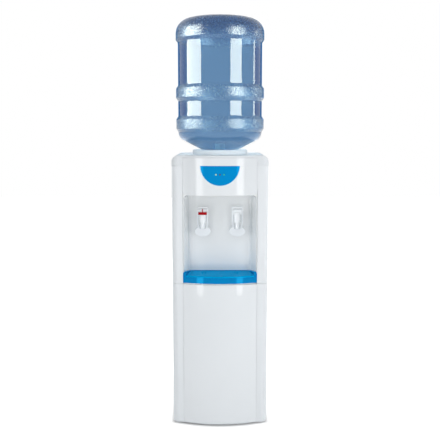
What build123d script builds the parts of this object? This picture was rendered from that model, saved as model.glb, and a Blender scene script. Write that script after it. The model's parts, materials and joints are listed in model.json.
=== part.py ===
from build123d import *
import os
from math import cos, radians, sin, sqrt

os.makedirs("parts", exist_ok=True)

# Water cooler in millimetres: floor at z = 0, bottle axis on Z, front towards -Y, hot tap at -X

# Cabinet
cabinet_width = 290.0
cabinet_top = 831.0
pillar_front = 132.0        # bottle axis to the pillars' front faces
cabinet_back = 128.0        # bottle axis to the rear panel's outer face
front_bow = 20.0            # rise of the curved front over the pillars
pillar_width = 33.0
pillar_corner = 20.0
rear_corner = 8.0
seam_height = 444.0         # joint between the lower and the upper cabinet
lid_height = 31.0
lid_shoulder = 21.0
lid_lip = 6.0
lid_wall = 3.0
side_wall = 2.5
front_wall = 3.0
sheet = 1.2
panel_gap = 0.4
pick_margin = 1.0           # reach used to find an outline's corners
pillar_return = 12.0
rear_flange = 16.0
foot_height = 5.0
foot_radius = 15.0
foot_inset = 45.0
foot_taper = 4.0
base_lip = 5.0
base_chamfer = 2.0

# Fascia, indicator window and control board
fascia_drop = 118.0         # cabinet's top to the fascia's lower edge
fascia_corner = 14.0
fascia_groove = 0.8         # depth of the line that carries on the lid seam
window_drop = 30.5          # cabinet's top to the window's straight edge
window_radius = 59.5
window_gap = 0.3
window_recess = 0.3
light_drop = 25.5           # window's straight edge to the lights
light_pitch = 12.0
light_radius = 2.25
light_recess = 0.2
light_names = ("power_light", "heating_light", "cooling_light")
board_width = 144.0
board_height = 36.0
board_thickness = 1.6
board_depth = 14.0          # front apex to the board's face
board_post_inset = 6.0
board_post_radius = 3.0

# Niche
niche_back = 49.0           # bottle axis to the niche's back wall
niche_flare = 16.1          # how far each side wall slants in
niche_wall = 2.5
niche_corner = 12.0
niche_top_corner = 13.0
niche_header = 22.0

# Drip tray and grate
tray_gap = 0.6
tray_rise = 25.5            # cabinet seam to the tray's deck
tray_edge = 5.0
tray_end_rise = 11.5        # deck to the top of the raised ends, at the front
tray_end_width = 7.0
tray_end_round = 7.0
tray_wall = 2.5
tray_pocket_margin = 8.0
tray_rim_depth = 47.0       # width of the plain front rim at the middle
grate_corner = 6.0
grate_thickness = 3.0
grate_sink = 1.5
grate_ledge = 3.0
grate_gap = 0.5
grate_drain_spacing = 99.0
grate_drain_radius = 8.5
grate_bar = 2.5
grate_rib_length = 34.0
grate_rib_height = 1.0

# Taps
tap_spacing = 106.0
tap_drop = 73.0             # fascia's lower edge to the tap's axis
spout_reach = 37.0          # niche back wall to the nozzle axis
spout_radius = 11.3
spout_below = 14.0          # tap's axis to the body's underside
spout_above = 16.0          # tap's axis to the body's top
nozzle_radius = 7.0
nozzle_length = 19.0
tap_neck_radius = 9.5
tap_flange_radius = 15.0
tap_flange = 4.0
tap_tail_radius = 7.0
tap_tail = 20.0             # niche back wall to the tail's end
tap_nut_radius = 12.5
tap_nut_height = 6.0
tap_nut_clearance = 0.2
barb_inset = 1.0
tap_bore = 3.8
valve_chamber_radius = 6.0
valve_chamber_rise = 10.0   # tap's axis to the chamber's top
valve_floor = 2.0           # body's underside to the valve seat
valve_clearance = 0.4
valve_disc = 5.0
valve_stem_radius = 2.0
valve_stem = 17.0           # valve seat to the stem's top
lever_pivot_rise = 6.0
lever_pivot_reach = 39.0
lever_boss_radius = 5.0
lever_pin_radius = 2.0
lever_pin_clearance = 0.2
lever_tilt = 9.0
lever_thickness = 5.0
lever_half_width = 17.0
lever_arm = 4.0
lever_top = 12.0            # over the pivot, along the lever
lever_bar = 4.5
lever_shoulder_drop = 40.0
lever_waist_drop = 55.0
lever_waist_half = 13.0
lever_side_gap = 0.4
paddle_half_width = 24.5
paddle_half_height = 16.25
paddle_drop = 65.75         # pivot to the oval paddle's middle
paddle_throat = 57.0        # pivot to the lower end of the opening for the nozzle
lock_half_width = 13.0
lock_height = 8.0
lock_drop = 12.0            # lever's pivot to the lock's lower edge
lock_thickness = 4.0
lock_gap = 0.5
lock_stem_half = 1.2
lock_stem = 10.0
lock_tongue = 4.0
lock_travel = 4.0
lock_round = 1.0

# Bottle, upside down
shoulder_rise = 49.3        # cabinet's top to where the wall's line meets the cone's
bottle_height = 360.7       # that line to the bottle's base
bottle_band_radius = 136.0
bottle_wall_radius = 129.7
bottle_wall = 2.0
bottle_corner = 44.0
bottle_base_recess = 8.0
bottle_base_recess_radius = 66.0
base_band_rise = 298.7
middle_band_rise = 160.7
lower_band_rise = 66.7
band_full = 28.5
band_chamfer = 9.5
band_round = 3.0
shoulder_radius = 28.0
cone_slope = 0.4947
neck_radius = 27.5
neck_fillet = 6.0
neck_length = 54.2
cap_wall = 2.5
cap_clearance = 0.3
cap_height = 24.0
cap_hole_radius = 16.5
cap_sleeve = 1.5
cap_sleeve_height = 18.0

# Collar, spike and plug
collar_radius = 86.0
collar_height = 14.0
collar_round = 6.0
collar_crest = 16.0
collar_wall = 6.0
collar_spigot_radius = 77.5
collar_spigot = 7.0
collar_spigot_wall = 3.5
collar_gap = 0.3
collar_contact_radius = 55.0
collar_bore = 32.0
collar_skirt = 3.0
well_gap = 5.0              # bottle cap to the well's floor
collar_floor_wall = 4.0
feed_radius = 12.0
feed_bore = 9.0
feed_length = 30.0
spike_radius = 8.0
spike_bore = 5.0
spike_base_radius = 30.0
spike_base = 2.6
spike_length = 90.0
spike_hole_radius = 4.0
spike_holes = 6
plug_radius = 16.0
plug_height = 24.0
plug_cover = 6.0
plug_clearance = 0.2

# Tanks, shelves and hoses
cold_tank_setback = 84.0    # niche's back wall to the cold tank's axis
cold_tank_margin = 4.0      # outlet to the tank's wall
cold_tank_lift = 15.0       # upper shelf to the tank's base
cold_tank_drop = 23.0       # well's floor to the tank's rim
tank_wall = 1.0
tank_lid = 3.0
tank_lid_overhang = 2.0
insulation_wall = 7.2
insulation_gap = 0.4
coil_tube_radius = 3.0
coil_turns = 5
coil_pitch = 14.0
coil_start = 20.0
upper_shelf_drop = 15.0     # tap's axis to the upper shelf
lower_shelf_rise = 3.0      # cabinet seam to the lower shelf
shelf_flange = 20.0
shelf_gap = 0.3
hot_tank_x = -45.0
hot_tank_setback = 94.0     # niche's back wall to the hot tank's axis
hot_tank_radius = 45.0
hot_tank_height = 126.0
pad_height = 12.0
tank_round = 6.0
heater_height = 30.0
heater_rise = 41.0
heater_thickness = 3.0
heater_split = 8.0
spigot_radius = 5.0
spigot_bore = 3.5
spigot_length = 14.0
hose_radius = 7.0
hose_bore = 5.2
hose_overlap = 9.0
hose_clearance = 1.5
loop_flat = 10.0            # straight stretch at the bottom of the cold loop
feed_shift_x = 15.0         # hot tank's axis to the feed hose
feed_shift_y = 17.0
cold_loop_drop = 25.0       # upper shelf to the cold loop's middle
hot_outlet_drop = 10.0
hot_bend = 20.0
drain_x = 35.0
drain_bend = 20.0
cold_drain_drop = 45.0      # upper shelf to the cold drain
hot_drain_rise = 15.0       # hot tank's base to the hot drain
drain_flange_radius = 12.0
drain_flange = 4.0
drain_nozzle_radius = 8.0
drain_nozzle = 13.0
drain_inner = 16.0
drain_cap_radius = 12.0
drain_cap_wall = 3.0
drain_cap_gap = 0.4

# Refrigeration
compressor_setback = 88.0   # rear panel to the compressor's axis
compressor_radius = 58.0
compressor_height = 145.0
compressor_dome = 30.0
compressor_rim = 4.0
compressor_rim_height = 70.0
compressor_plate_x = 150.0
compressor_plate_y = 104.0
compressor_plate = 3.0
grommet_radius = 9.0
grommet_height = 8.0
grommet_inset = 12.0
relay_x = 26.0
relay_y = 44.0
relay_z = 46.0
relay_rise = 8.0
relay_round = 3.0
relay_gap = 0.2
condenser_tube_radius = 2.4
condenser_wire_radius = 0.8
condenser_contact = 0.05
condenser_clearance = 24.0  # rear panel to the wires' outer side
condenser_half = 84.0
condenser_rise = 81.0       # base to the lowest run
condenser_runs = 9
condenser_pitch = 36.0
condenser_wire_count = 21
condenser_end_bend = 10.0
condenser_wire_over = 12.0
standoff_radius = 5.0
standoff_inset = 14.0

# Rear panel, switches and inlet
rear_edge = 1.0
compressor_vent_width = 140.0
compressor_vent_x = 20.0
vent_height = 5.0
compressor_vent_rows = 5
compressor_vent_rise = 17.0
upper_vent_width = 120.0
upper_vent_rows = 7
upper_vent_rise = 15.0
upper_vent_x = -40.0
vent_pitch = 12.0
screw_radius = 3.5
screw_head = 2.0
screw_shank_radius = 1.8
screw_shank = 3.0
screw_clearance = 0.2
screw_edge = 40.0
switch_edge = 53.0          # cabinet's side to the outer switch
switch_pitch = 30.0
switch_drop = 110.0         # lid seam to the switches
switch_body_x = 13.0
switch_body_z = 21.0
switch_bezel = 2.5
switch_bezel_height = 2.0
switch_body_depth = 18.0
switch_wall = 1.2
switch_gap = 0.3
rocker_radius = 8.7
rocker_rise = 5.0
rocker_dip = 3.6
rocker_angle = 8.0
rocker_axis_depth = 1.0
inlet_edge = 40.0           # cabinet's side to the inlet
inlet_rise = 41.0           # base to the inlet
inlet_body_x = 30.0
inlet_body_z = 24.0
inlet_flange = 9.0
inlet_flange_rim = 2.0
inlet_flange_height = 3.0
inlet_depth = 22.0
inlet_socket_x = 24.4
inlet_socket_z = 17.0
inlet_socket_depth = 17.0
inlet_socket_chamfer = 5.0
inlet_pin_x = 2.0
inlet_pin_z = 5.0
inlet_pin_length = 11.0
inlet_pin_pitch = 7.0
inlet_earth_rise = 4.0

# Worked out from the values above
half_width = cabinet_width / 2
bow_half = half_width - pillar_width
bow_radius = (bow_half**2 + front_bow**2) / (2 * front_bow)
bow_centre = bow_radius - pillar_front - front_bow
front_half = bow_half - panel_gap
front_apex = pillar_front + front_bow
panel_bottom = foot_height + base_lip
lid_seam = cabinet_top - lid_height
fascia_top = cabinet_top - lid_lip - panel_gap
fascia_bottom = cabinet_top - fascia_drop
window_top = cabinet_top - window_drop
light_height = window_top - light_drop
board_post_x = board_width / 2 - board_post_inset
rear_inside = cabinet_back - sheet
niche_inset = front_wall + panel_gap
niche_back_half = front_half - niche_flare
niche_floor = seam_height + panel_gap + niche_wall
tray_top = seam_height + tray_rise
tap_x = tap_spacing / 2
wall_y = -niche_back
behind_wall = wall_y + niche_wall
tap_axis_height = fascia_bottom - tap_drop
spout_y = wall_y - spout_reach
spout_bottom = tap_axis_height - spout_below
spout_top = tap_axis_height + spout_above
nozzle_bottom = spout_bottom - nozzle_length
valve_chamber_top = tap_axis_height + valve_chamber_rise
valve_seat_height = spout_bottom + valve_floor
pivot_y = wall_y - lever_pivot_reach
lever_pivot_height = spout_top + lever_pivot_rise
lock_bottom = lever_pivot_height - lock_drop
barb_y = wall_y + tap_tail - spigot_radius - barb_inset
barb_end = tap_axis_height - tap_tail_radius - spigot_length
shoulder_height = cabinet_top + shoulder_rise
bottle_top = shoulder_height + bottle_height
cone_base = shoulder_height - cone_slope * bottle_wall_radius
neck_top = cone_base + cone_slope * neck_radius
neck_end = neck_top - neck_length
collar_floor = neck_end - cap_wall - well_gap
spike_top = collar_floor + spike_length
upper_shelf_height = tap_axis_height - upper_shelf_drop
cold_tank_y = wall_y + cold_tank_setback
cold_tank_radius = tap_x + spigot_radius + cold_tank_margin
cold_tank_bottom = upper_shelf_height + cold_tank_lift
cold_tank_top = collar_floor - cold_tank_drop
cold_spigot_end = upper_shelf_height - spigot_length
cold_loop_height = upper_shelf_height - cold_loop_drop
cold_drain_height = upper_shelf_height - cold_drain_drop
drain_tank_y = cold_tank_y + sqrt(tap_x**2 - drain_x**2)
lower_shelf_height = seam_height + lower_shelf_rise
hot_tank_y = wall_y + hot_tank_setback
feed_hose_x = hot_tank_x + feed_shift_x
feed_hose_y = hot_tank_y + feed_shift_y
hot_tank_bottom = lower_shelf_height + pad_height
hot_tank_top = hot_tank_bottom + hot_tank_height
heater_bottom = hot_tank_bottom + heater_rise
hot_outlet_height = hot_tank_top - hot_outlet_drop
hot_outlet_y = hot_tank_y - sqrt(hot_tank_radius**2 - (tap_x + hot_tank_x)**2)
hot_drain_y = hot_tank_y + hot_tank_radius
hot_drain_height = hot_tank_bottom + hot_drain_rise
drain_inner_end = rear_inside - drain_flange - drain_inner
compressor_y = cabinet_back - compressor_setback
compressor_floor = panel_bottom + grommet_height + compressor_plate
condenser_bottom = panel_bottom + condenser_rise
standoff_x = condenser_half - standoff_inset
wire_y = cabinet_back + condenser_clearance - condenser_wire_radius
tube_y = wire_y - condenser_wire_radius - condenser_contact - condenser_tube_radius
condenser_top = condenser_bottom + (condenser_runs - 1) * condenser_pitch
condenser_end_x = condenser_half + condenser_end_bend
compressor_vent_bottom = panel_bottom + compressor_vent_rise
upper_vent_bottom = upper_shelf_height + upper_vent_rise
switch_x = (half_width - switch_edge - switch_pitch, half_width - switch_edge)
switch_height = lid_seam - switch_drop
inlet_x = -half_width + inlet_edge
inlet_height = panel_bottom + inlet_rise
screw_x = half_width - rear_flange / 2
lower_screws = (panel_bottom + screw_edge, (panel_bottom + seam_height) / 2, seam_height - screw_edge)
upper_screws = (seam_height + screw_edge, (seam_height + lid_seam) / 2, lid_seam - screw_edge)
screw_points = [(side * screw_x, z) for side in (-1, 1) for z in lower_screws + upper_screws]


def bow_y(x, inset):
    return bow_centre - sqrt((bow_radius - inset)**2 - x**2)


def cone_z(radius):
    return cone_base + cone_slope * radius


def save(piece, name):
    piece.part.label = name
    export_step(piece.part, f"parts/{name}.step")


# Closed outline of the cabinet seen from above, drawn in by an inset
def cabinet_plan(height, inset):
    side = half_width - inset
    front = -pillar_front + inset
    back = cabinet_back - inset
    kink = sqrt((bow_radius - inset)**2 - (bow_centre - front)**2)
    with BuildSketch(Plane.XY.offset(height)) as plan:
        with BuildLine():
            ThreePointArc((-kink, front), (0, -front_apex + inset), (kink, front))
            Polyline((kink, front), (side, front), (side, back))
            Polyline((side, back), (-side, back), (-side, front), (-kink, front))
        make_face()
        outer = plan.vertices().filter_by(lambda v: abs(v.X) > side - pick_margin)
        fillet(outer.group_by(Axis.Y)[0], pillar_corner - inset)
        outer = plan.vertices().filter_by(lambda v: v.Y > back - pick_margin)
        fillet(outer, rear_corner - inset)
    return plan.sketch


# Strip of the curved front seen from above
def bow_strip(height, half, inset, thickness):
    back = inset + thickness
    with BuildSketch(Plane.XY.offset(height)) as strip:
        with BuildLine():
            ThreePointArc((-half, bow_y(half, inset)), (0, bow_y(0, inset)), (half, bow_y(half, inset)))
            Line((half, bow_y(half, inset)), (half, bow_y(half, back)))
            ThreePointArc((half, bow_y(half, back)), (0, bow_y(0, back)), (-half, bow_y(half, back)))
            Line((-half, bow_y(half, back)), (-half, bow_y(half, inset)))
        make_face()
    return strip.sketch


# Half disc of the indicator window seen from the front
def window_outline(margin):
    with BuildSketch(Plane.XZ) as outline:
        with Locations((0, window_top + margin)):
            Circle(window_radius + margin)
            Rectangle(
                2 * (window_radius + margin),
                window_radius + 2 * margin,
                align=(Align.CENTER, Align.MAX),
                mode=Mode.INTERSECT,
            )
    return outline.sketch


# Rubber feet
with BuildPart() as rubber_feet:
    for x in (-half_width + foot_inset, half_width - foot_inset):
        for y in (-pillar_front + foot_inset, cabinet_back - foot_inset):
            with BuildSketch():
                with Locations((x, y)):
                    Circle(foot_radius)
            extrude(amount=foot_height, taper=foot_taper)
save(rubber_feet, "rubber_feet")

# Base
with BuildPart() as base_pan:
    extrude(cabinet_plan(foot_height, 0), amount=base_lip)
    chamfer(base_pan.edges().group_by(Axis.Z)[0], base_chamfer)
save(base_pan, "base_pan")


# Side panel with its pillar, a bent moulding seen from above
def side_profile(bottom):
    back = rear_inside
    with BuildSketch(Plane.XY.offset(bottom)) as profile:
        with Locations((bow_half, -pillar_front)):
            Rectangle(pillar_width, pillar_front + back, align=(Align.MIN, Align.MIN))
        corner = profile.vertices().group_by(Axis.Y)[0].sort_by(Axis.X)[-1]
        fillet(corner, pillar_corner)
        offset(amount=-side_wall, mode=Mode.SUBTRACT)
        with Locations((bow_half - side_wall, -pillar_front + pillar_return)):
            Rectangle(
                pillar_width + side_wall - rear_flange,
                back + pillar_front,
                align=(Align.MIN, Align.MIN),
                mode=Mode.SUBTRACT,
            )
    return profile.sketch


with BuildPart() as lower_right_panel:
    extrude(side_profile(panel_bottom), amount=seam_height - panel_gap - panel_bottom)
    with BuildSketch(Plane.XZ.offset(-rear_inside)):
        with Locations(*[(screw_x, z) for z in lower_screws]):
            Circle(screw_shank_radius + screw_clearance)
    extrude(amount=side_wall, mode=Mode.SUBTRACT)
save(lower_right_panel, "lower_right_panel")

with BuildPart() as lower_left_panel:
    mirror(lower_right_panel.part, about=Plane.YZ)
save(lower_left_panel, "lower_left_panel")

with BuildPart() as upper_right_panel:
    extrude(side_profile(seam_height + panel_gap), amount=lid_seam - seam_height - 2 * panel_gap)
    with BuildSketch(Plane.XZ.offset(-rear_inside)):
        with Locations(*[(screw_x, z) for z in upper_screws]):
            Circle(screw_shank_radius + screw_clearance)
    extrude(amount=side_wall, mode=Mode.SUBTRACT)
save(upper_right_panel, "upper_right_panel")

with BuildPart() as upper_left_panel:
    mirror(upper_right_panel.part, about=Plane.YZ)
save(upper_left_panel, "upper_left_panel")

# Curved lower front
with BuildPart() as lower_front_panel:
    extrude(bow_strip(panel_bottom, front_half, 0, front_wall), amount=seam_height - panel_bottom)
    top_edges = lower_front_panel.edges().group_by(Axis.Z)[-1]
    fillet(top_edges.sort_by(Axis.Y)[0], front_wall / 2)
save(lower_front_panel, "lower_front_panel")

# Curved fascia with the window's cut-out and two posts for the board
with BuildPart() as upper_fascia:
    extrude(
        bow_strip(fascia_bottom - front_wall, half_width, 0, front_wall),
        amount=cabinet_top - fascia_bottom,
    )
    with BuildSketch(Plane.XZ) as fascia_face:
        with Locations((0, fascia_bottom)):
            Rectangle(2 * front_half, fascia_top - fascia_bottom, align=(Align.CENTER, Align.MIN))
        fillet(fascia_face.vertices().group_by(Axis.Y)[0], fascia_corner)
    extrude(amount=front_apex, mode=Mode.INTERSECT)
    extrude(window_outline(window_gap), amount=front_apex, mode=Mode.SUBTRACT)
    extrude(
        bow_strip(lid_seam - panel_gap, half_width, 0, fascia_groove),
        amount=panel_gap,
        mode=Mode.SUBTRACT,
    )
    board_face = -front_apex + board_depth
    post_root = bow_y(board_post_x, front_wall / 2)
    with BuildSketch(Plane.XZ.offset(-board_face)):
        with Locations((-board_post_x, light_height), (board_post_x, light_height)):
            Circle(board_post_radius)
    extrude(amount=board_face - post_root)
save(upper_fascia, "upper_fascia")

with BuildPart() as indicator_window:
    window_wall = front_wall - 2 * window_recess
    extrude(
        bow_strip(window_top - 2 * window_radius, 2 * window_radius, window_recess, window_wall),
        amount=3 * window_radius,
    )
    extrude(window_outline(0), amount=front_apex, mode=Mode.INTERSECT)
    with BuildSketch(Plane.XZ):
        with Locations((0, light_height)):
            with GridLocations(light_pitch, 0, len(light_names), 1):
                Circle(light_radius + window_gap)
    extrude(amount=front_apex, mode=Mode.SUBTRACT)
save(indicator_window, "indicator_window")

# Light pipes from the board to the window
for index, name in enumerate(light_names):
    light_x = (index - 1) * light_pitch
    with BuildPart() as light:
        with BuildSketch(Plane.XZ.offset(front_apex - board_depth)):
            with Locations((light_x, light_height)):
                Circle(light_radius)
        extrude(amount=board_face - bow_y(light_x, light_recess))
        fillet(light.edges().group_by(Axis.Y)[0], light_radius / 3)
    save(light, name)

with BuildPart() as control_board:
    with BuildSketch(Plane.XZ.offset(front_apex - board_depth)):
        with Locations((0, light_height)):
            Rectangle(board_width, board_height)
    extrude(amount=-board_thickness)
save(control_board, "control_board")

# Niche: a tub open at the front, with a header behind the fascia
niche_front_y = bow_y(front_half, niche_inset)
niche_slope = (front_half - niche_back_half - niche_wall) / (behind_wall - niche_front_y)


def niche_half(y, inset):
    return niche_back_half + niche_wall - inset + niche_slope * (behind_wall - y)


niche_cut_front = -front_apex - front_wall
with BuildPart() as niche_space:
    with BuildSketch(Plane.XY.offset(niche_floor)):
        with BuildLine():
            Polyline(
                (niche_half(niche_cut_front, niche_wall), niche_cut_front),
                (niche_half(wall_y, niche_wall), wall_y),
                (-niche_half(wall_y, niche_wall), wall_y),
                (-niche_half(niche_cut_front, niche_wall), niche_cut_front),
                close=True,
            )
        make_face()
    extrude(amount=fascia_bottom - niche_floor)
    fillet(niche_space.edges().filter_by(Axis.Z).group_by(Axis.Y)[-1], niche_corner)
    ceiling = niche_space.edges().group_by(Axis.Z)[-1]
    fillet(ceiling.sort_by(Axis.Y)[1:], niche_top_corner)

with BuildPart() as niche:
    with BuildSketch(Plane.XY.offset(niche_floor - niche_wall)):
        with BuildLine():
            ThreePointArc(
                (-front_half, niche_front_y), (0, -front_apex + niche_inset), (front_half, niche_front_y)
            )
            Polyline(
                (front_half, niche_front_y),
                (niche_half(behind_wall, 0), behind_wall),
                (-niche_half(behind_wall, 0), behind_wall),
                (-front_half, niche_front_y),
            )
        make_face()
    extrude(amount=fascia_bottom - niche_floor + 2 * niche_wall)
    extrude(bow_strip(fascia_bottom, front_half, niche_inset, niche_wall), amount=niche_header)
    add(niche_space.part, mode=Mode.SUBTRACT)
    with BuildSketch(Plane.XZ.offset(niche_back)):
        with Locations((-tap_x, tap_axis_height), (tap_x, tap_axis_height)):
            Circle(tap_tail_radius + panel_gap)
    extrude(amount=-niche_wall, mode=Mode.SUBTRACT)
save(niche, "niche")


# Top cover: a shell with rounded sides, open below, cut back for the fascia and the collar
def lid_block(bottom, inset):
    height = cabinet_top - inset - bottom
    with BuildPart() as block:
        extrude(cabinet_plan(bottom, inset), amount=height)
        with BuildSketch(Plane.XZ) as shoulders:
            with Locations((0, bottom)):
                Rectangle(cabinet_width - 2 * inset, height, align=(Align.CENTER, Align.MIN))
            fillet(shoulders.vertices().group_by(Axis.Y)[-1], lid_shoulder - inset)
        extrude(amount=front_apex, both=True, mode=Mode.INTERSECT)
    return block.part


lid_outside = lid_block(lid_seam, 0)
lid_inside = lid_block(lid_seam, lid_wall)
with BuildPart() as top_cover:
    add(lid_outside)
    add(lid_inside, mode=Mode.SUBTRACT)
    with BuildSketch(Plane.XY.offset(lid_seam)):
        with Locations((0, -pillar_front + pillar_return)):
            Rectangle(2 * bow_half, front_apex, align=(Align.CENTER, Align.MAX))
    extrude(amount=cabinet_top - lid_lip - lid_seam, mode=Mode.SUBTRACT)
    with BuildSketch(Plane.XY.offset(lid_seam)):
        Circle(collar_spigot_radius + collar_gap)
    extrude(amount=cabinet_top - lid_seam, mode=Mode.SUBTRACT)
save(top_cover, "top_cover")

# Collar that carries the bottle's shoulder, with its well and feed tube
collar_top = cabinet_top + collar_height
collar_crest_inner = collar_radius - collar_crest
contact_z = cone_z(collar_contact_radius) - collar_gap
bore_z = cone_z(collar_bore) - collar_gap
skirt_radius = collar_bore + collar_skirt
with BuildPart() as bottle_collar:
    with BuildSketch(Plane.XZ) as collar_profile:
        with BuildLine():
            Polyline(
                (collar_radius, cabinet_top),
                (collar_radius, collar_top),
                (collar_crest_inner, collar_top),
                (collar_contact_radius, contact_z),
                (collar_bore, bore_z),
                (collar_bore, collar_floor),
                (feed_bore, collar_floor),
                (feed_bore, collar_floor - feed_length),
                (feed_radius, collar_floor - feed_length),
                (feed_radius, collar_floor - collar_floor_wall),
                (skirt_radius, collar_floor - collar_floor_wall),
                (skirt_radius, bore_z - collar_wall),
                (collar_contact_radius, contact_z - collar_wall),
                (collar_spigot_radius - collar_spigot_wall, collar_top - collar_wall),
                (collar_spigot_radius - collar_spigot_wall, cabinet_top - collar_spigot),
                (collar_spigot_radius, cabinet_top - collar_spigot),
                (collar_spigot_radius, cabinet_top),
                close=True,
            )
        make_face()
        rim = collar_profile.vertices().group_by(Axis.Y)[-1]
        fillet(rim, collar_round)
    revolve(axis=Axis.Z)
save(bottle_collar, "bottle_collar")

# Feed spike in the collar's well
with BuildPart() as feed_spike:
    with BuildSketch(Plane.XY.offset(collar_floor)):
        Circle(spike_base_radius)
        with PolarLocations((spike_base_radius + spike_radius) / 2, spike_holes):
            Circle(spike_hole_radius, mode=Mode.SUBTRACT)
    extrude(amount=spike_base)
    with BuildSketch(Plane.XY.offset(collar_floor)):
        Circle(spike_radius)
    extrude(amount=spike_top - collar_floor)
    fillet(feed_spike.edges().group_by(Axis.Z)[-1], spike_radius / 4)
    with BuildSketch(Plane.XY.offset(collar_floor)):
        Circle(spike_bore)
    extrude(amount=spike_top - plug_height - collar_floor, mode=Mode.SUBTRACT)
    with BuildSketch(Plane.XZ):
        with Locations((0, spike_top - plug_height - 2 * spike_hole_radius)):
            Circle(spike_hole_radius)
    extrude(amount=spike_radius, both=True, mode=Mode.SUBTRACT)
save(feed_spike, "feed_spike")

with BuildPart() as cap_plug:
    with BuildSketch(Plane.XY.offset(spike_top + plug_cover - plug_height)):
        Circle(plug_radius)
    extrude(amount=plug_height)
    fillet(cap_plug.edges().group_by(Axis.Z)[-1], plug_cover / 2)
    with BuildSketch(Plane.XY.offset(spike_top + plug_cover - plug_height)):
        Circle(spike_radius + plug_clearance)
    extrude(amount=plug_height - plug_cover, mode=Mode.SUBTRACT)
save(cap_plug, "cap_plug")


# Bottle: a revolved wall with three raised bands, a recessed base and an open neck
def band_points(top):
    return [
        (bottle_wall_radius, top),
        (bottle_band_radius, top - band_chamfer),
        (bottle_band_radius, top - band_chamfer - band_full),
        (bottle_wall_radius, top - 2 * band_chamfer - band_full),
    ]


recess_floor = bottle_top - bottle_base_recess
base_band_bottom = shoulder_height + base_band_rise
with BuildPart() as bottle:
    with BuildSketch(Plane.XZ) as bottle_profile:
        with BuildLine():
            Polyline(
                (0, recess_floor),
                (bottle_base_recess_radius, recess_floor),
                (bottle_base_recess_radius + bottle_base_recess, bottle_top),
                (bottle_band_radius, bottle_top),
                (bottle_band_radius, base_band_bottom),
                (bottle_wall_radius, base_band_bottom - band_chamfer),
                *band_points(shoulder_height + middle_band_rise),
                *band_points(shoulder_height + lower_band_rise),
                (bottle_wall_radius, shoulder_height),
                (neck_radius, neck_top),
                (neck_radius, neck_end),
                (0, neck_end),
                close=True,
            )
        make_face()
        outer = bottle_profile.vertices().filter_by(lambda v: v.X > bottle_wall_radius - pick_margin)
        bands = outer.filter_by(lambda v: shoulder_height + pick_margin < v.Y < recess_floor)
        fillet(bands, band_round)
        corner = bottle_profile.vertices().group_by(Axis.Y)[-1].sort_by(Axis.X)[-1]
        fillet(corner, bottle_corner)
        shoulder = bottle_profile.vertices().filter_by(lambda v: abs(v.Y - shoulder_height) < pick_margin)
        fillet(shoulder, shoulder_radius)
        neck = bottle_profile.vertices().filter_by(lambda v: abs(v.Y - neck_top) < pick_margin)
        fillet(neck, neck_fillet)
        mirror(about=Plane.YZ)
        offset(amount=-bottle_wall, mode=Mode.SUBTRACT)
        with Locations((0, neck_end)):
            Rectangle(2 * (neck_radius - bottle_wall), 4 * bottle_wall, mode=Mode.SUBTRACT)
        with Locations((0, neck_end)):
            Rectangle(
                bottle_band_radius, bottle_top, align=(Align.MIN, Align.MIN), mode=Mode.INTERSECT
            )
    revolve(axis=Axis.Z)
save(bottle, "bottle")

# Cap on the neck, with the sleeve that the spike pushes through
cap_inner = neck_radius + cap_clearance
with BuildPart() as bottle_cap:
    with BuildSketch(Plane.XZ):
        with BuildLine():
            Polyline(
                (cap_hole_radius, neck_end - cap_wall),
                (cap_inner + cap_wall, neck_end - cap_wall),
                (cap_inner + cap_wall, neck_end + cap_height),
                (cap_inner, neck_end + cap_height),
                (cap_inner, neck_end),
                (cap_hole_radius + cap_sleeve, neck_end),
                (cap_hole_radius + cap_sleeve, neck_end + cap_sleeve_height),
                (cap_hole_radius, neck_end + cap_sleeve_height),
                close=True,
            )
        make_face()
    revolve(axis=Axis.Z)
save(bottle_cap, "bottle_cap")


# Drip tray: curved front over the full width, stepping in between the niche's walls
tray_step = bow_y(niche_half(niche_front_y, niche_wall + tray_gap), niche_inset) - tray_gap
tray_bottom = niche_floor + tray_gap / 2
tray_back = wall_y - tray_gap


def tray_half(y):
    return niche_half(y, niche_wall + tray_gap)


# Sunken seat for the grate in the tray's deck
def grate_outline(height, margin):
    front = -front_apex + tray_rim_depth
    back = tray_back - tray_pocket_margin
    half = tray_half(tray_back) - tray_pocket_margin
    with BuildSketch(Plane.XY.offset(height)) as outline:
        with Locations((0, (front + back) / 2)):
            RectangleRounded(2 * (half - margin), back - front - 2 * margin, grate_corner - margin)
    return outline.sketch


with BuildSketch(Plane.XY.offset(tray_bottom)) as tray_plan:
    with BuildLine():
        ThreePointArc(
            (-front_half, bow_y(front_half, 0)), (0, -front_apex), (front_half, bow_y(front_half, 0))
        )
        Polyline(
            (front_half, bow_y(front_half, 0)),
            (front_half, tray_step),
            (tray_half(tray_step), tray_step),
            (tray_half(tray_back), tray_back),
            (-tray_half(tray_back), tray_back),
            (-tray_half(tray_step), tray_step),
            (-front_half, tray_step),
            (-front_half, bow_y(front_half, 0)),
        )
    make_face()
    fillet(tray_plan.vertices().group_by(Axis.Y)[-1], niche_corner)

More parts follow.
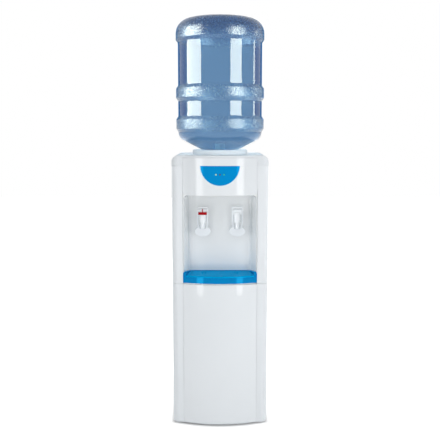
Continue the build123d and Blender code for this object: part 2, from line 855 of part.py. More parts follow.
# Raised ends along the niche's side walls, falling to the deck at the back
tray_ends_top = tray_top + tray_end_rise
tray_cut_front = -front_apex - tray_edge
tray_cut_back = tray_back + tray_edge
with BuildPart() as tray_ends:
    extrude(tray_plan.sketch, amount=tray_ends_top - tray_bottom)
    with BuildSketch(Plane.XY.offset(tray_bottom - tray_edge)):
        with BuildLine():
            Polyline(
                (tray_half(tray_cut_front) - tray_end_width, tray_cut_front),
                (tray_half(tray_cut_back) - tray_end_width, tray_cut_back),
                (tray_end_width - tray_half(tray_cut_back), tray_cut_back),
                (tray_end_width - tray_half(tray_cut_front), tray_cut_front),
                close=True,
            )
        make_face()
    extrude(amount=tray_ends_top - tray_bottom + 2 * tray_edge, mode=Mode.SUBTRACT)
    with BuildSketch(Plane.YZ):
        with BuildLine():
            Polyline(
                (-pillar_front, tray_ends_top),
                (tray_back, tray_top),
                (tray_cut_back, tray_top),
                (tray_cut_back, tray_ends_top + tray_edge),
                (-pillar_front, tray_ends_top + tray_edge),
                close=True,
            )
        make_face()
    extrude(amount=half_width, both=True, mode=Mode.SUBTRACT)
    with BuildSketch(Plane.XZ.offset(-tray_step)):
        with Locations((-front_half, tray_ends_top), (front_half, tray_ends_top)):
            Rectangle(2 * tray_end_round, 2 * tray_end_round)
        with Locations(
            (tray_end_round - front_half, tray_ends_top - tray_end_round),
            (front_half - tray_end_round, tray_ends_top - tray_end_round),
        ):
            Circle(tray_end_round, mode=Mode.SUBTRACT)
    extrude(amount=front_apex, mode=Mode.SUBTRACT)

with BuildPart() as drip_tray:
    extrude(tray_plan.sketch, amount=tray_top - tray_bottom)
    fillet(drip_tray.edges().group_by(Axis.Z)[0].sort_by(Axis.Y)[0], tray_wall / 2)
    fillet(drip_tray.edges().group_by(Axis.Z)[-1].sort_by(Axis.Y)[0], tray_edge)
    add(tray_ends.part)
    grate_seat = tray_top - grate_sink - grate_thickness
    extrude(grate_outline(grate_seat, 0), amount=tray_top - grate_seat, mode=Mode.SUBTRACT)
    extrude(
        grate_outline(tray_bottom + tray_wall, grate_ledge),
        amount=tray_top - tray_bottom - tray_wall,
        mode=Mode.SUBTRACT,
    )
save(drip_tray, "drip_tray")

# Grate with a barred drain under each nozzle and a middle rib
grate_mid = (-front_apex + tray_rim_depth + tray_back - tray_pocket_margin) / 2
with BuildPart() as drip_grate:
    extrude(grate_outline(grate_seat, grate_gap), amount=grate_thickness)
    with BuildSketch(Plane.XY.offset(grate_seat)):
        with Locations((-grate_drain_spacing / 2, spout_y), (grate_drain_spacing / 2, spout_y)):
            Circle(grate_drain_radius)
            Rectangle(2 * grate_drain_radius, grate_bar, mode=Mode.SUBTRACT)
            Rectangle(grate_bar, 2 * grate_drain_radius, mode=Mode.SUBTRACT)
    extrude(amount=grate_thickness, mode=Mode.SUBTRACT)
    with BuildSketch(Plane.XY.offset(grate_seat + grate_thickness)):
        with Locations((0, grate_mid)):
            Rectangle(grate_bar, grate_rib_length)
    extrude(amount=grate_rib_height)
save(drip_grate, "drip_grate")


# Lever seen along its own plane, from the top bar over the pivot down to the paddle
def lever_outline(half):
    inner = half - lever_arm
    waist_inner = lever_waist_half - lever_arm
    return [
        (half, lever_top),
        (half, -lever_shoulder_drop),
        (lever_waist_half, -lever_waist_drop),
        (lever_waist_half, -paddle_drop),
        (waist_inner, -paddle_drop),
        (waist_inner, -lever_waist_drop),
        (inner, -lever_shoulder_drop),
        (inner, lever_top - lever_bar),
        (0, lever_top - lever_bar),
        (0, lever_top),
    ]


# One tap: body with tail and barb, lever and valve plug
for tap, tap_side in (("hot", -tap_x), ("cold", tap_x)):
    boss_half = lever_half_width - lever_arm - lever_side_gap
    with BuildPart() as tap_body:
        with BuildSketch(Plane.XY.offset(nozzle_bottom)):
            with Locations((tap_side, spout_y)):
                Circle(nozzle_radius)
        extrude(amount=spout_bottom - nozzle_bottom)
        with BuildSketch(Plane.XY.offset(spout_bottom)):
            with Locations((tap_side, spout_y)):
                Circle(spout_radius)
        extrude(amount=spout_top - spout_bottom)
        with BuildSketch(Plane.XZ.offset(niche_back)):
            with Locations((tap_side, tap_axis_height)):
                Circle(tap_neck_radius)
        extrude(amount=spout_reach)
        with BuildSketch(Plane.XZ.offset(niche_back)):
            with Locations((tap_side, tap_axis_height)):
                Circle(tap_flange_radius)
        extrude(amount=tap_flange)
        with BuildSketch(Plane.XZ.offset(niche_back)):
            with Locations((tap_side, tap_axis_height)):
                Circle(tap_tail_radius)
        extrude(amount=-tap_tail)
        with BuildSketch(Plane.XY.offset(barb_end)):
            with Locations((tap_side, barb_y)):
                Circle(spigot_radius)
        extrude(amount=tap_axis_height - barb_end)
        with BuildSketch(Plane.YZ.offset(tap_side)):
            with Locations((pivot_y, lever_pivot_height)):
                Circle(lever_boss_radius)
            with Locations((pivot_y, spout_top)):
                Rectangle(2 * lever_boss_radius, 2 * (lever_pivot_height - spout_top))
        extrude(amount=boss_half, both=True)
        with BuildSketch(Plane.YZ.offset(tap_side)):
            with Locations((pivot_y, lever_pivot_height)):
                Circle(lever_pin_radius)
        extrude(amount=boss_half, both=True, mode=Mode.SUBTRACT)
        with BuildSketch(Plane.XY.offset(valve_seat_height)):
            with Locations((tap_side, spout_y)):
                Circle(valve_chamber_radius)
        extrude(amount=valve_chamber_top - valve_seat_height, mode=Mode.SUBTRACT)
        with BuildSketch(Plane.XY.offset(nozzle_bottom)):
            with Locations((tap_side, spout_y)):
                Circle(tap_bore)
        extrude(amount=valve_seat_height - nozzle_bottom, mode=Mode.SUBTRACT)
        with BuildSketch(Plane.XZ.offset(-barb_y)):
            with Locations((tap_side, tap_axis_height)):
                Circle(tap_bore)
        extrude(amount=barb_y - spout_y, mode=Mode.SUBTRACT)
        with BuildSketch(Plane.XY.offset(barb_end)):
            with Locations((tap_side, barb_y)):
                Circle(spigot_bore)
        extrude(amount=tap_axis_height - barb_end, mode=Mode.SUBTRACT)
        if tap == "hot":
            with BuildSketch(Plane.XY.offset(lock_bottom - lock_gap)):
                with Locations((tap_side, spout_y - spout_radius)):
                    Rectangle(2 * (lock_stem_half + lock_gap), 2 * (lock_tongue + lock_gap))
            extrude(amount=lock_height + lock_travel + 2 * lock_gap, mode=Mode.SUBTRACT)
    save(tap_body, f"{tap}_tap_body")

    lever_plane = Plane(
        origin=(tap_side, pivot_y, lever_pivot_height),
        x_dir=(1, 0, 0),
        z_dir=(0, -cos(radians(lever_tilt)), -sin(radians(lever_tilt))),
    )
    with BuildPart() as tap_lever:
        with BuildSketch(lever_plane) as lever_face:
            with BuildLine():
                Polyline(*lever_outline(lever_half_width), close=True)
            make_face()
            crown = lever_face.vertices().group_by(Axis.Y)[-1].sort_by(Axis.X)[-1]
            fillet(crown, lever_arm)
            mirror(about=Plane.YZ)
            with Locations((0, -paddle_drop)):
                Ellipse(paddle_half_width, paddle_half_height)
            with Locations((0, -paddle_throat)):
                Rectangle(
                    2 * (lever_waist_half - lever_arm),
                    paddle_half_height,
                    align=(Align.CENTER, Align.MIN),
                    mode=Mode.SUBTRACT,
                )
        extrude(amount=lever_thickness / 2, both=True)
        for ear in (-1, 1):
            ear_x = tap_side + ear * (lever_half_width - lever_arm / 2)
            with BuildSketch(Plane.YZ.offset(ear_x)):
                with Locations((pivot_y, lever_pivot_height)):
                    Circle(lever_boss_radius)
            extrude(amount=lever_arm / 2, both=True)
        with BuildSketch(Plane.YZ.offset(tap_side)):
            with Locations((pivot_y, lever_pivot_height)):
                Circle(lever_pin_radius + lever_pin_clearance)
        extrude(amount=lever_half_width, both=True, mode=Mode.SUBTRACT)
    save(tap_lever, f"{tap}_tap_lever")

    with BuildPart() as valve_plug:
        with BuildSketch(Plane.XY.offset(valve_seat_height + valve_clearance)):
            with Locations((tap_side, spout_y)):
                Circle(valve_chamber_radius - valve_clearance)
        extrude(amount=valve_disc)
        with BuildSketch(Plane.XY.offset(valve_seat_height + valve_clearance)):
            with Locations((tap_side, spout_y)):
                Circle(valve_stem_radius)
        extrude(amount=valve_stem - valve_clearance)
    save(valve_plug, f"{tap}_valve_plug")

# Red lock in front of the hot tap, guided by a tongue in the body's slot
with BuildPart() as hot_safety_lock:
    lock_back = spout_radius + spout_reach + niche_back + lock_gap
    with BuildSketch(Plane.XZ.offset(lock_back)):
        with Locations((-tap_x, lock_bottom)):
            Rectangle(2 * lock_half_width, lock_height, align=(Align.CENTER, Align.MIN))
            Rectangle(2 * lock_stem_half, lock_height + lock_stem, align=(Align.CENTER, Align.MIN))
    extrude(amount=lock_thickness)
    fillet(hot_safety_lock.edges().filter_by(Axis.Y), lock_round)
    with BuildSketch(Plane.XZ.offset(lock_back)):
        with Locations((-tap_x, lock_bottom)):
            Rectangle(2 * lock_stem_half, lock_height, align=(Align.CENTER, Align.MIN))
    extrude(amount=-lock_tongue)
save(hot_safety_lock, "hot_safety_lock")

with BuildPart() as tap_nuts:
    with BuildSketch(Plane.XZ.offset(-behind_wall)):
        with Locations((-tap_x, tap_axis_height), (tap_x, tap_axis_height)):
            RegularPolygon(tap_nut_radius, 6)
            Circle(tap_tail_radius + tap_nut_clearance, mode=Mode.SUBTRACT)
    extrude(amount=-tap_nut_height)
save(tap_nuts, "tap_nuts")

with BuildPart() as lever_pins:
    for x in (-tap_x, tap_x):
        with BuildSketch(Plane.YZ.offset(x)):
            with Locations((pivot_y, lever_pivot_height)):
                Circle(lever_pin_radius)
        extrude(amount=lever_half_width, both=True)
save(lever_pins, "lever_pins")


# Shelf between the side panels with turned-down edges
def shelf_blank(height):
    half = half_width - side_wall - shelf_gap
    front = behind_wall + shelf_gap
    back = rear_inside - side_wall - shelf_gap
    with BuildPart() as blank:
        with BuildSketch(Plane.XY.offset(height)):
            with Locations((0, front)):
                Rectangle(2 * half, back - front, align=(Align.CENTER, Align.MIN))
        extrude(amount=-shelf_flange)
        with BuildSketch(Plane.XY.offset(height - sheet)):
            with Locations((0, front)):
                Rectangle(2 * (half - sheet), back - front, align=(Align.CENTER, Align.MIN))
        extrude(amount=-shelf_flange, mode=Mode.SUBTRACT)
    return blank.part


cold_spigots = [
    (tap_x, cold_tank_y),
    (feed_hose_x, feed_hose_y),
    (drain_x, drain_tank_y),
]
with BuildPart() as upper_shelf:
    add(shelf_blank(upper_shelf_height))
    with BuildSketch(Plane.XY.offset(upper_shelf_height)):
        with Locations(*cold_spigots, (-tap_x, barb_y), (tap_x, barb_y)):
            Circle(hose_radius + hose_clearance)
    extrude(amount=-sheet, mode=Mode.SUBTRACT)
save(upper_shelf, "upper_shelf")

with BuildPart() as lower_shelf:
    add(shelf_blank(lower_shelf_height))
save(lower_shelf, "lower_shelf")

# Cold tank, lid, coil and insulation
with BuildPart() as cold_tank:
    with BuildSketch(Plane.XY.offset(cold_tank_bottom)):
        with Locations((0, cold_tank_y)):
            Circle(cold_tank_radius)
    extrude(amount=cold_tank_top - cold_tank_bottom)
    with BuildSketch(Plane.XY.offset(cold_tank_bottom + tank_wall)):
        with Locations((0, cold_tank_y)):
            Circle(cold_tank_radius - tank_wall)
    extrude(amount=cold_tank_top - cold_tank_bottom, mode=Mode.SUBTRACT)
    with BuildSketch(Plane.XY.offset(cold_spigot_end)):
        with Locations(*cold_spigots):
            Circle(spigot_radius)
    extrude(amount=cold_tank_bottom - cold_spigot_end)
    with BuildSketch(Plane.XY.offset(cold_spigot_end)):
        with Locations(*cold_spigots):
            Circle(spigot_bore)
    extrude(amount=cold_tank_bottom + tank_wall - cold_spigot_end, mode=Mode.SUBTRACT)
save(cold_tank, "cold_tank")

with BuildPart() as cold_tank_lid:
    with BuildSketch(Plane.XY.offset(cold_tank_top)):
        with Locations((0, cold_tank_y)):
            Circle(cold_tank_radius + tank_lid_overhang)
        Circle(feed_radius + collar_gap, mode=Mode.SUBTRACT)
    extrude(amount=tank_lid)
save(cold_tank_lid, "cold_tank_lid")

coil_radius = cold_tank_radius + insulation_gap + coil_tube_radius
insulation_bore = coil_radius + coil_tube_radius + insulation_gap
with BuildPart() as cold_tank_insulation:
    with BuildSketch(Plane.XY.offset(upper_shelf_height)):
        with Locations((0, cold_tank_y)):
            Circle(insulation_bore + insulation_wall)
    extrude(amount=cold_tank_top - upper_shelf_height)
    with BuildSketch(Plane.XY.offset(cold_tank_bottom)):
        with Locations((0, cold_tank_y)):
            Circle(insulation_bore)
    extrude(amount=cold_tank_top - cold_tank_bottom, mode=Mode.SUBTRACT)
    with BuildSketch(Plane.XY.offset(upper_shelf_height)):
        with Locations(*cold_spigots):
            Circle(spigot_radius + insulation_gap)
    extrude(amount=cold_tank_bottom - upper_shelf_height, mode=Mode.SUBTRACT)
save(cold_tank_insulation, "cold_tank_insulation")


# Points of the evaporator's helix, a half turn apart
def coil_point(half_turns):
    turn = radians(180 * half_turns)
    height = cold_tank_bottom + coil_start + coil_pitch * half_turns / 2
    return (coil_radius * cos(turn), cold_tank_y + coil_radius * sin(turn), height)


with BuildPart() as evaporator_coil:
    with BuildLine() as coil_path:
        for half_turn in range(2 * coil_turns):
            ThreePointArc(coil_point(half_turn), coil_point(half_turn + 0.5), coil_point(half_turn + 1))
    with BuildSketch(Plane(origin=coil_path.line @ 0, z_dir=coil_path.line % 0)):
        Circle(coil_tube_radius)
    sweep(path=coil_path.line)
save(evaporator_coil, "evaporator_coil")

# Hot tank on its pad, with a band heater
with BuildPart() as hot_tank_space:
    with BuildSketch(Plane.XY.offset(hot_tank_bottom + tank_wall)):
        with Locations((hot_tank_x, hot_tank_y)):
            Circle(hot_tank_radius - tank_wall)
    extrude(amount=hot_tank_top - hot_tank_bottom - 2 * tank_wall)
    fillet(hot_tank_space.edges().filter_by(GeomType.CIRCLE), tank_round - tank_wall)

with BuildPart() as hot_tank:
    with BuildSketch(Plane.XY.offset(hot_tank_bottom)):
        with Locations((hot_tank_x, hot_tank_y)):
            Circle(hot_tank_radius)
    extrude(amount=hot_tank_top - hot_tank_bottom)
    fillet(hot_tank.edges().filter_by(GeomType.CIRCLE), tank_round)
    with BuildSketch(Plane.XZ.offset(-hot_tank_y)):
        with Locations((-tap_x, hot_outlet_height)):
            Circle(spigot_radius)
    extrude(amount=hot_tank_y - hot_outlet_y + spigot_length)
    with BuildSketch(Plane.XZ.offset(-hot_tank_y)):
        with Locations((hot_tank_x, hot_drain_height)):
            Circle(spigot_radius)
    extrude(amount=-hot_tank_radius - spigot_length)
    with BuildSketch(Plane.XY.offset(hot_tank_top - tank_round)):
        with Locations((feed_hose_x, feed_hose_y)):
            Circle(spigot_radius)
    extrude(amount=spigot_length + tank_round)
    add(hot_tank_space.part, mode=Mode.SUBTRACT)
    with BuildSketch(Plane.XZ.offset(-hot_tank_y)):
        with Locations((-tap_x, hot_outlet_height)):
            Circle(spigot_bore)
    extrude(amount=hot_tank_y - hot_outlet_y + spigot_length, mode=Mode.SUBTRACT)
    with BuildSketch(Plane.XZ.offset(-hot_tank_y)):
        with Locations((hot_tank_x, hot_drain_height)):
            Circle(spigot_bore)
    extrude(amount=-hot_tank_radius - spigot_length, mode=Mode.SUBTRACT)
    with BuildSketch(Plane.XY.offset(hot_tank_top - tank_round)):
        with Locations((feed_hose_x, feed_hose_y)):
            Circle(spigot_bore)
    extrude(amount=spigot_length + tank_round, mode=Mode.SUBTRACT)
save(hot_tank, "hot_tank")

with BuildPart() as hot_tank_pad:
    with BuildSketch(Plane.XY.offset(lower_shelf_height)):
        with Locations((hot_tank_x, hot_tank_y)):
            Circle(hot_tank_radius - tank_round)
    extrude(amount=pad_height)
save(hot_tank_pad, "hot_tank_pad")

with BuildPart() as band_heater:
    with BuildSketch(Plane.XY.offset(heater_bottom)):
        with Locations((hot_tank_x, hot_tank_y)):
            Circle(hot_tank_radius + insulation_gap + heater_thickness)
            Circle(hot_tank_radius + insulation_gap, mode=Mode.SUBTRACT)
        with Locations((hot_tank_x - hot_tank_radius, hot_tank_y)):
            Rectangle(2 * heater_split, heater_split, mode=Mode.SUBTRACT)
    extrude(amount=heater_height)
save(band_heater, "band_heater")


# Hose along a path of straight runs and arcs
def hose(name, points, bends):
    with BuildPart() as tube:
        with BuildLine() as route:
            if bends:
                FilletPolyline(*points, radius=bends)
            else:
                Line(*points)
        with BuildSketch(Plane(origin=route.line @ 0, z_dir=route.line % 0)):
            Circle(hose_radius)
            Circle(hose_bore, mode=Mode.SUBTRACT)
        sweep(path=route.line)
    save(tube, name)


cold_hose_top = cold_spigot_end + hose_overlap
barb_hose_top = barb_end + hose_overlap
loop_radius = (cold_tank_y - barb_y) / 2
hose(
    "cold_hose",
    [
        (tap_x, cold_tank_y, cold_hose_top),
        (tap_x, cold_tank_y, cold_loop_height - loop_radius),
        (tap_x, barb_y, cold_loop_height - loop_radius),
        (tap_x, barb_y, barb_hose_top),
    ],
    loop_radius - loop_flat / 2,
)
hose(
    "hot_hose",
    [
        (-tap_x, hot_outlet_y - spigot_length + hose_overlap, hot_outlet_height),
        (-tap_x, barb_y, hot_outlet_height),
        (-tap_x, barb_y, barb_hose_top),
    ],
    hot_bend,
)
hose(
    "feed_hose",
    [
        (feed_hose_x, feed_hose_y, hot_tank_top + spigot_length - hose_overlap),
        (feed_hose_x, feed_hose_y, cold_hose_top),
    ],
    0,
)
hose(
    "cold_drain_hose",
    [
        (drain_x, drain_tank_y, cold_hose_top),
        (drain_x, drain_tank_y, cold_drain_height),
        (drain_x, drain_inner_end + hose_overlap, cold_drain_height),
    ],
    drain_bend,
)
hose(
    "hot_drain_hose",
    [
        (hot_tank_x, hot_drain_y + spigot_length - hose_overlap, hot_drain_height),
        (hot_tank_x, drain_inner_end + hose_overlap, hot_drain_height),
    ],
    0,
)

# Drain fittings through the rear panel, and their caps
drains = {"cold_drain_cap": (drain_x, cold_drain_height), "hot_drain_cap": (hot_tank_x, hot_drain_height)}
with BuildPart() as drain_fittings:
    with BuildSketch(Plane.XZ.offset(-drain_inner_end)):
        with Locations(*drains.values()):
            Circle(spigot_radius)
    extrude(amount=-drain_inner - drain_flange)
    with BuildSketch(Plane.XZ.offset(-rear_inside)):
        with Locations(*drains.values()):
            Circle(drain_flange_radius)
    extrude(amount=drain_flange)
    with BuildSketch(Plane.XZ.offset(-rear_inside)):
        with Locations(*drains.values()):
            Circle(drain_nozzle_radius)
    extrude(amount=-sheet - drain_nozzle)
    with BuildSketch(Plane.XZ.offset(-drain_inner_end)):
        with Locations(*drains.values()):
            Circle(spigot_bore)
    extrude(amount=-drain_inner - drain_flange - sheet - drain_nozzle, mode=Mode.SUBTRACT)
save(drain_fittings, "drain_fittings")

for name, place in drains.items():
    with BuildPart() as drain_cap:
        with BuildSketch(Plane.XZ.offset(-cabinet_back - drain_cap_gap)):
            with Locations(place):
                Circle(drain_cap_radius)
        extrude(amount=-drain_nozzle - drain_cap_wall)
        with BuildSketch(Plane.XZ.offset(-cabinet_back - drain_cap_gap)):
            with Locations(place):
                Circle(drain_nozzle_radius + drain_cap_gap)
        extrude(amount=-drain_nozzle, mode=Mode.SUBTRACT)
        fillet(drain_cap.edges().group_by(Axis.Y)[-1], drain_cap_wall / 2)
    save(drain_cap, name)

# Compressor on rubber grommets, with its relay box
with BuildPart() as compressor:
    with BuildSketch(Plane.XY.offset(compressor_floor)):
        with Locations((0, compressor_y)):
            Circle(compressor_radius)
    extrude(amount=compressor_height)
    fillet(compressor.edges().group_by(Axis.Z)[-1], compressor_dome)
    with BuildSketch(Plane.XY.offset(compressor_floor + compressor_rim_height)):
        with Locations((0, compressor_y)):
            Circle(compressor_radius + compressor_rim)
    extrude(amount=compressor_rim)
    with BuildSketch(Plane.XY.offset(compressor_floor)):
        with Locations((0, compressor_y)):
            RectangleRounded(compressor_plate_x, compressor_plate_y, grommet_radius)
    extrude(amount=-compressor_plate)
save(compressor, "compressor")

with BuildPart() as compressor_grommets:
    with BuildSketch(Plane.XY.offset(panel_bottom)):
        with Locations((0, compressor_y)):
            with GridLocations(
                compressor_plate_x - 2 * grommet_inset, compressor_plate_y - 2 * grommet_inset, 2, 2
            ):
                Circle(grommet_radius)
    extrude(amount=grommet_height)
save(compressor_grommets, "compressor_grommets")

with BuildPart() as start_relay:
    with BuildSketch(Plane.XY.offset(compressor_floor + relay_rise)):
        with Locations((compressor_radius + relay_gap, compressor_y)):
            Rectangle(relay_x, relay_y, align=(Align.MIN, Align.CENTER))
    extrude(amount=relay_z)
    fillet(start_relay.edges().filter_by(Axis.Z).group_by(Axis.X)[-1], relay_round)
save(start_relay, "start_relay")

# Condenser: one winding tube with its ends turned in through the rear panel, wires and stand-offs
bend_mid = condenser_end_bend * cos(radians(45))
with BuildPart() as condenser_tube:
    with BuildLine() as coil_route:
        end_y = tube_y - condenser_end_bend
        Line((-condenser_end_x, rear_inside, condenser_bottom), (-condenser_end_x, end_y, condenser_bottom))
        ThreePointArc(
            (-condenser_end_x, end_y, condenser_bottom),
            (-condenser_half - bend_mid, end_y + bend_mid, condenser_bottom),
            (-condenser_half, tube_y, condenser_bottom),
        )
        for run in range(condenser_runs):
            run_z = condenser_bottom + run * condenser_pitch
            heading = 1 if run % 2 == 0 else -1
            run_end = heading * condenser_half
            Line((-run_end, tube_y, run_z), (run_end, tube_y, run_z))
            if run < condenser_runs - 1:
                ThreePointArc(
                    (run_end, tube_y, run_z),
                    (run_end + heading * condenser_pitch / 2, tube_y, run_z + condenser_pitch / 2),
                    (run_end, tube_y, run_z + condenser_pitch),
                )
        last_x = heading * condenser_end_x
        ThreePointArc(
            (run_end, tube_y, condenser_top),
            (run_end + heading * bend_mid, end_y + bend_mid, condenser_top),
            (last_x, end_y, condenser_top),
        )
        Line((last_x, end_y, condenser_top), (last_x, rear_inside, condenser_top))
    with BuildSketch(Plane(origin=coil_route.line @ 0, z_dir=coil_route.line % 0)):
        Circle(condenser_tube_radius)
    sweep(path=coil_route.line)
save(condenser_tube, "condenser_tube")

wire_pitch = 2 * (condenser_half - condenser_tube_radius) / (condenser_wire_count - 1)
with BuildPart() as condenser_wires:
    with BuildSketch(Plane.XY.offset(condenser_bottom - condenser_wire_over)):
        with Locations((0, wire_y)):
            with GridLocations(wire_pitch, 0, condenser_wire_count, 1):
                Circle(condenser_wire_radius)
    extrude(amount=condenser_top - condenser_bottom + 2 * condenser_wire_over)
save(condenser_wires, "condenser_wires")

with BuildPart() as condenser_standoffs:
    with BuildSketch(Plane.XZ.offset(-cabinet_back)):
        for z in (condenser_bottom + condenser_pitch, condenser_top - condenser_pitch):
            with Locations((-standoff_x, z), (standoff_x, z)):
                Circle(standoff_radius)
    extrude(amount=-(tube_y - condenser_tube_radius - condenser_contact - cabinet_back))
save(condenser_standoffs, "condenser_standoffs")

# Rear panel with vents and the holes for what passes through it
switch_places = [(x, switch_height) for x in switch_x]
with BuildPart() as rear_panel:
    with BuildSketch(Plane.XZ.offset(-cabinet_back)):
        with Locations((0, panel_bottom + panel_gap)):
            Rectangle(
                2 * (half_width - rear_edge),
                lid_seam - panel_bottom - 2 * panel_gap,
                align=(Align.CENTER, Align.MIN),
            )
        with Locations((compressor_vent_x, compressor_vent_bottom)):
            for row in range(compressor_vent_rows):
                with Locations((0, row * vent_pitch)):
                    SlotOverall(compressor_vent_width, vent_height, mode=Mode.SUBTRACT)
        with Locations((upper_vent_x, upper_vent_bottom)):
            for row in range(upper_vent_rows):
                with Locations((0, row * vent_pitch)):
                    SlotOverall(upper_vent_width, vent_height, mode=Mode.SUBTRACT)
        with Locations(*screw_points):
            Circle(screw_shank_radius + screw_clearance, mode=Mode.SUBTRACT)
        with Locations(*drains.values()):
            Circle(drain_nozzle_radius + drain_cap_gap, mode=Mode.SUBTRACT)
        with Locations((-condenser_end_x, condenser_bottom), (last_x, condenser_top)):
            Circle(condenser_tube_radius + panel_gap, mode=Mode.SUBTRACT)
        with Locations(*switch_places):
            Rectangle(switch_body_x + switch_gap, switch_body_z + switch_gap, mode=Mode.SUBTRACT)
        with Locations((inlet_x, inlet_height)):
            Rectangle(inlet_body_x + switch_gap, inlet_body_z + switch_gap, mode=Mode.SUBTRACT)
    extrude(amount=sheet)
save(rear_panel, "rear_panel")

with BuildPart() as rear_screws:
    with BuildSketch(Plane.XZ.offset(-cabinet_back)):
        with Locations(*screw_points):
            Circle(screw_radius)
    extrude(amount=-screw_head)
    fillet(rear_screws.edges().group_by(Axis.Y)[-1], screw_head / 2)
    with BuildSketch(Plane.XZ.offset(-cabinet_back)):
        with Locations(*screw_points):
            Circle(screw_shank_radius)
    extrude(amount=screw_shank)
save(rear_screws, "rear_screws")

# Rocker switches
rocker_y = cabinet_back - rocker_axis_depth
pocket_x = switch_body_x - 2 * switch_wall
pocket_z = switch_body_z - 2 * switch_wall
with BuildPart() as switch_housings:
    with BuildSketch(Plane.XZ.offset(-cabinet_back)):
        with Locations(*switch_places):
            Rectangle(switch_body_x + 2 * switch_bezel, switch_body_z + 2 * switch_bezel)
    extrude(amount=-switch_bezel_height)
    with BuildSketch(Plane.XZ.offset(-cabinet_back)):
        with Locations(*switch_places):
            Rectangle(switch_body_x, switch_body_z)
    extrude(amount=switch_body_depth)
    with BuildSketch(Plane.XZ.offset(-cabinet_back - switch_bezel_height)):
        with Locations(*switch_places):
            Rectangle(pocket_x, pocket_z)
    pocket_depth = switch_bezel_height + rocker_axis_depth + rocker_radius + switch_gap
    extrude(amount=pocket_depth, mode=Mode.SUBTRACT)
save(switch_housings, "switch_housings")

for name, x in zip(("hot_switch", "cold_switch"), switch_x):
    rocker_plane = Plane(
        origin=(x, rocker_y, switch_height),
        x_dir=(0, cos(radians(rocker_angle)), sin(radians(rocker_angle))),
        z_dir=(1, 0, 0),
    )
    with BuildPart() as rocker:
        with BuildSketch(rocker_plane):
            with BuildLine():
                ThreePointArc((0, -rocker_radius), (-rocker_radius, 0), (0, rocker_radius))
                Polyline(
                    (0, rocker_radius),
                    (rocker_rise, rocker_radius),
                    (rocker_dip, 0),
                    (rocker_rise, -rocker_radius),
                    (0, -rocker_radius),
                )
            make_face()
        extrude(amount=pocket_x / 2 - switch_gap, both=True)
    save(rocker, name)

# Mains inlet with three pins set back in its socket
inlet_mouth = cabinet_back + inlet_flange_height
with BuildPart() as power_inlet:
    with BuildSketch(Plane.XZ.offset(-cabinet_back)):
        with Locations((inlet_x, inlet_height)):
            RectangleRounded(
                inlet_body_x + 2 * inlet_flange, inlet_body_z + 2 * inlet_flange_rim, inlet_flange_rim
            )
    extrude(amount=-inlet_flange_height)
    with BuildSketch(Plane.XZ.offset(-cabinet_back)):
        with Locations((inlet_x, inlet_height)):
            Rectangle(inlet_body_x, inlet_body_z)
    extrude(amount=inlet_depth)
    with BuildSketch(Plane.XZ.offset(-inlet_mouth)) as socket:
        with Locations((inlet_x, inlet_height)):
            Rectangle(inlet_socket_x, inlet_socket_z)
        chamfer(socket.vertices().group_by(Axis.Y)[-1], inlet_socket_chamfer)
    extrude(amount=inlet_socket_depth, mode=Mode.SUBTRACT)
    with BuildSketch(Plane.XZ.offset(-inlet_mouth + inlet_socket_depth)):
        with Locations(
            (inlet_x - inlet_pin_pitch, inlet_height - inlet_earth_rise / 2),
            (inlet_x, inlet_height + inlet_earth_rise / 2),
            (inlet_x + inlet_pin_pitch, inlet_height - inlet_earth_rise / 2),
        ):
            Rectangle(inlet_pin_x, inlet_pin_z)
    extrude(amount=-inlet_pin_length)
save(power_inlet, "power_inlet")
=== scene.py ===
import json
import math
import bmesh
import bpy
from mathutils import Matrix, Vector


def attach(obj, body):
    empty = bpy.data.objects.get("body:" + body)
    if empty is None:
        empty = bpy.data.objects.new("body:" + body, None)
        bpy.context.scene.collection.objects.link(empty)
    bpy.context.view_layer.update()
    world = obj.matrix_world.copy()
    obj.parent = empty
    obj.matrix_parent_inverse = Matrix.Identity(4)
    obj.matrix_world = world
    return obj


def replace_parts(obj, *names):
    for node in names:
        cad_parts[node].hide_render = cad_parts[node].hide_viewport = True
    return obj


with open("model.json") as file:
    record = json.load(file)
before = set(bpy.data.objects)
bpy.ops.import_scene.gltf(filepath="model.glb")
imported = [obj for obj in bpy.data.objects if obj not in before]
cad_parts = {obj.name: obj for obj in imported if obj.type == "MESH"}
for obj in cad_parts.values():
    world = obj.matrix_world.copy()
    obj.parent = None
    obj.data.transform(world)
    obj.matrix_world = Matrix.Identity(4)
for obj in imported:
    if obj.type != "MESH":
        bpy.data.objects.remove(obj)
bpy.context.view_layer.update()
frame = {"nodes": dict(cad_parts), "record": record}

scene = bpy.context.scene
nodeOf = frame["nodes"]
bodyOf = {node: body for body, group in frame["record"]["behaviour"]["bodies"].items() for node in group}


def hexToLinear(code):
    parts = [int(code[i:i + 2], 16) / 255 for i in (1, 3, 5)]
    return (*[p / 12.92 if p <= 0.04045 else ((p + 0.055) / 1.055) ** 2.4 for p in parts], 1.0)


# one node with its settings, values and links
def addNode(tree, kind, values=None, **settings):
    node = tree.nodes.new(kind)
    for key, value in settings.items():
        setattr(node, key, value)
    for key, value in (values or {}).items():
        if isinstance(value, bpy.types.NodeSocket):
            tree.links.new(value, node.inputs[key])
        else:
            node.inputs[key].default_value = value
    return node


def newMaterial(name):
    material = bpy.data.materials.new(name)
    material.use_nodes = True
    material.node_tree.nodes.clear()
    return material, material.node_tree


# shared by the finishes: swing of the gloss about its value, depth of bumps in metres, detail of the noises
finishRules = {
    "swing": 0.25, "plasticDepth": 0.0002, "metalDepth": 0.0001, "streakRange": (0.3, 0.7),
    "driftDetail": 3.0, "grainDetail": 2.0, "streakDetail": 4.0,
}


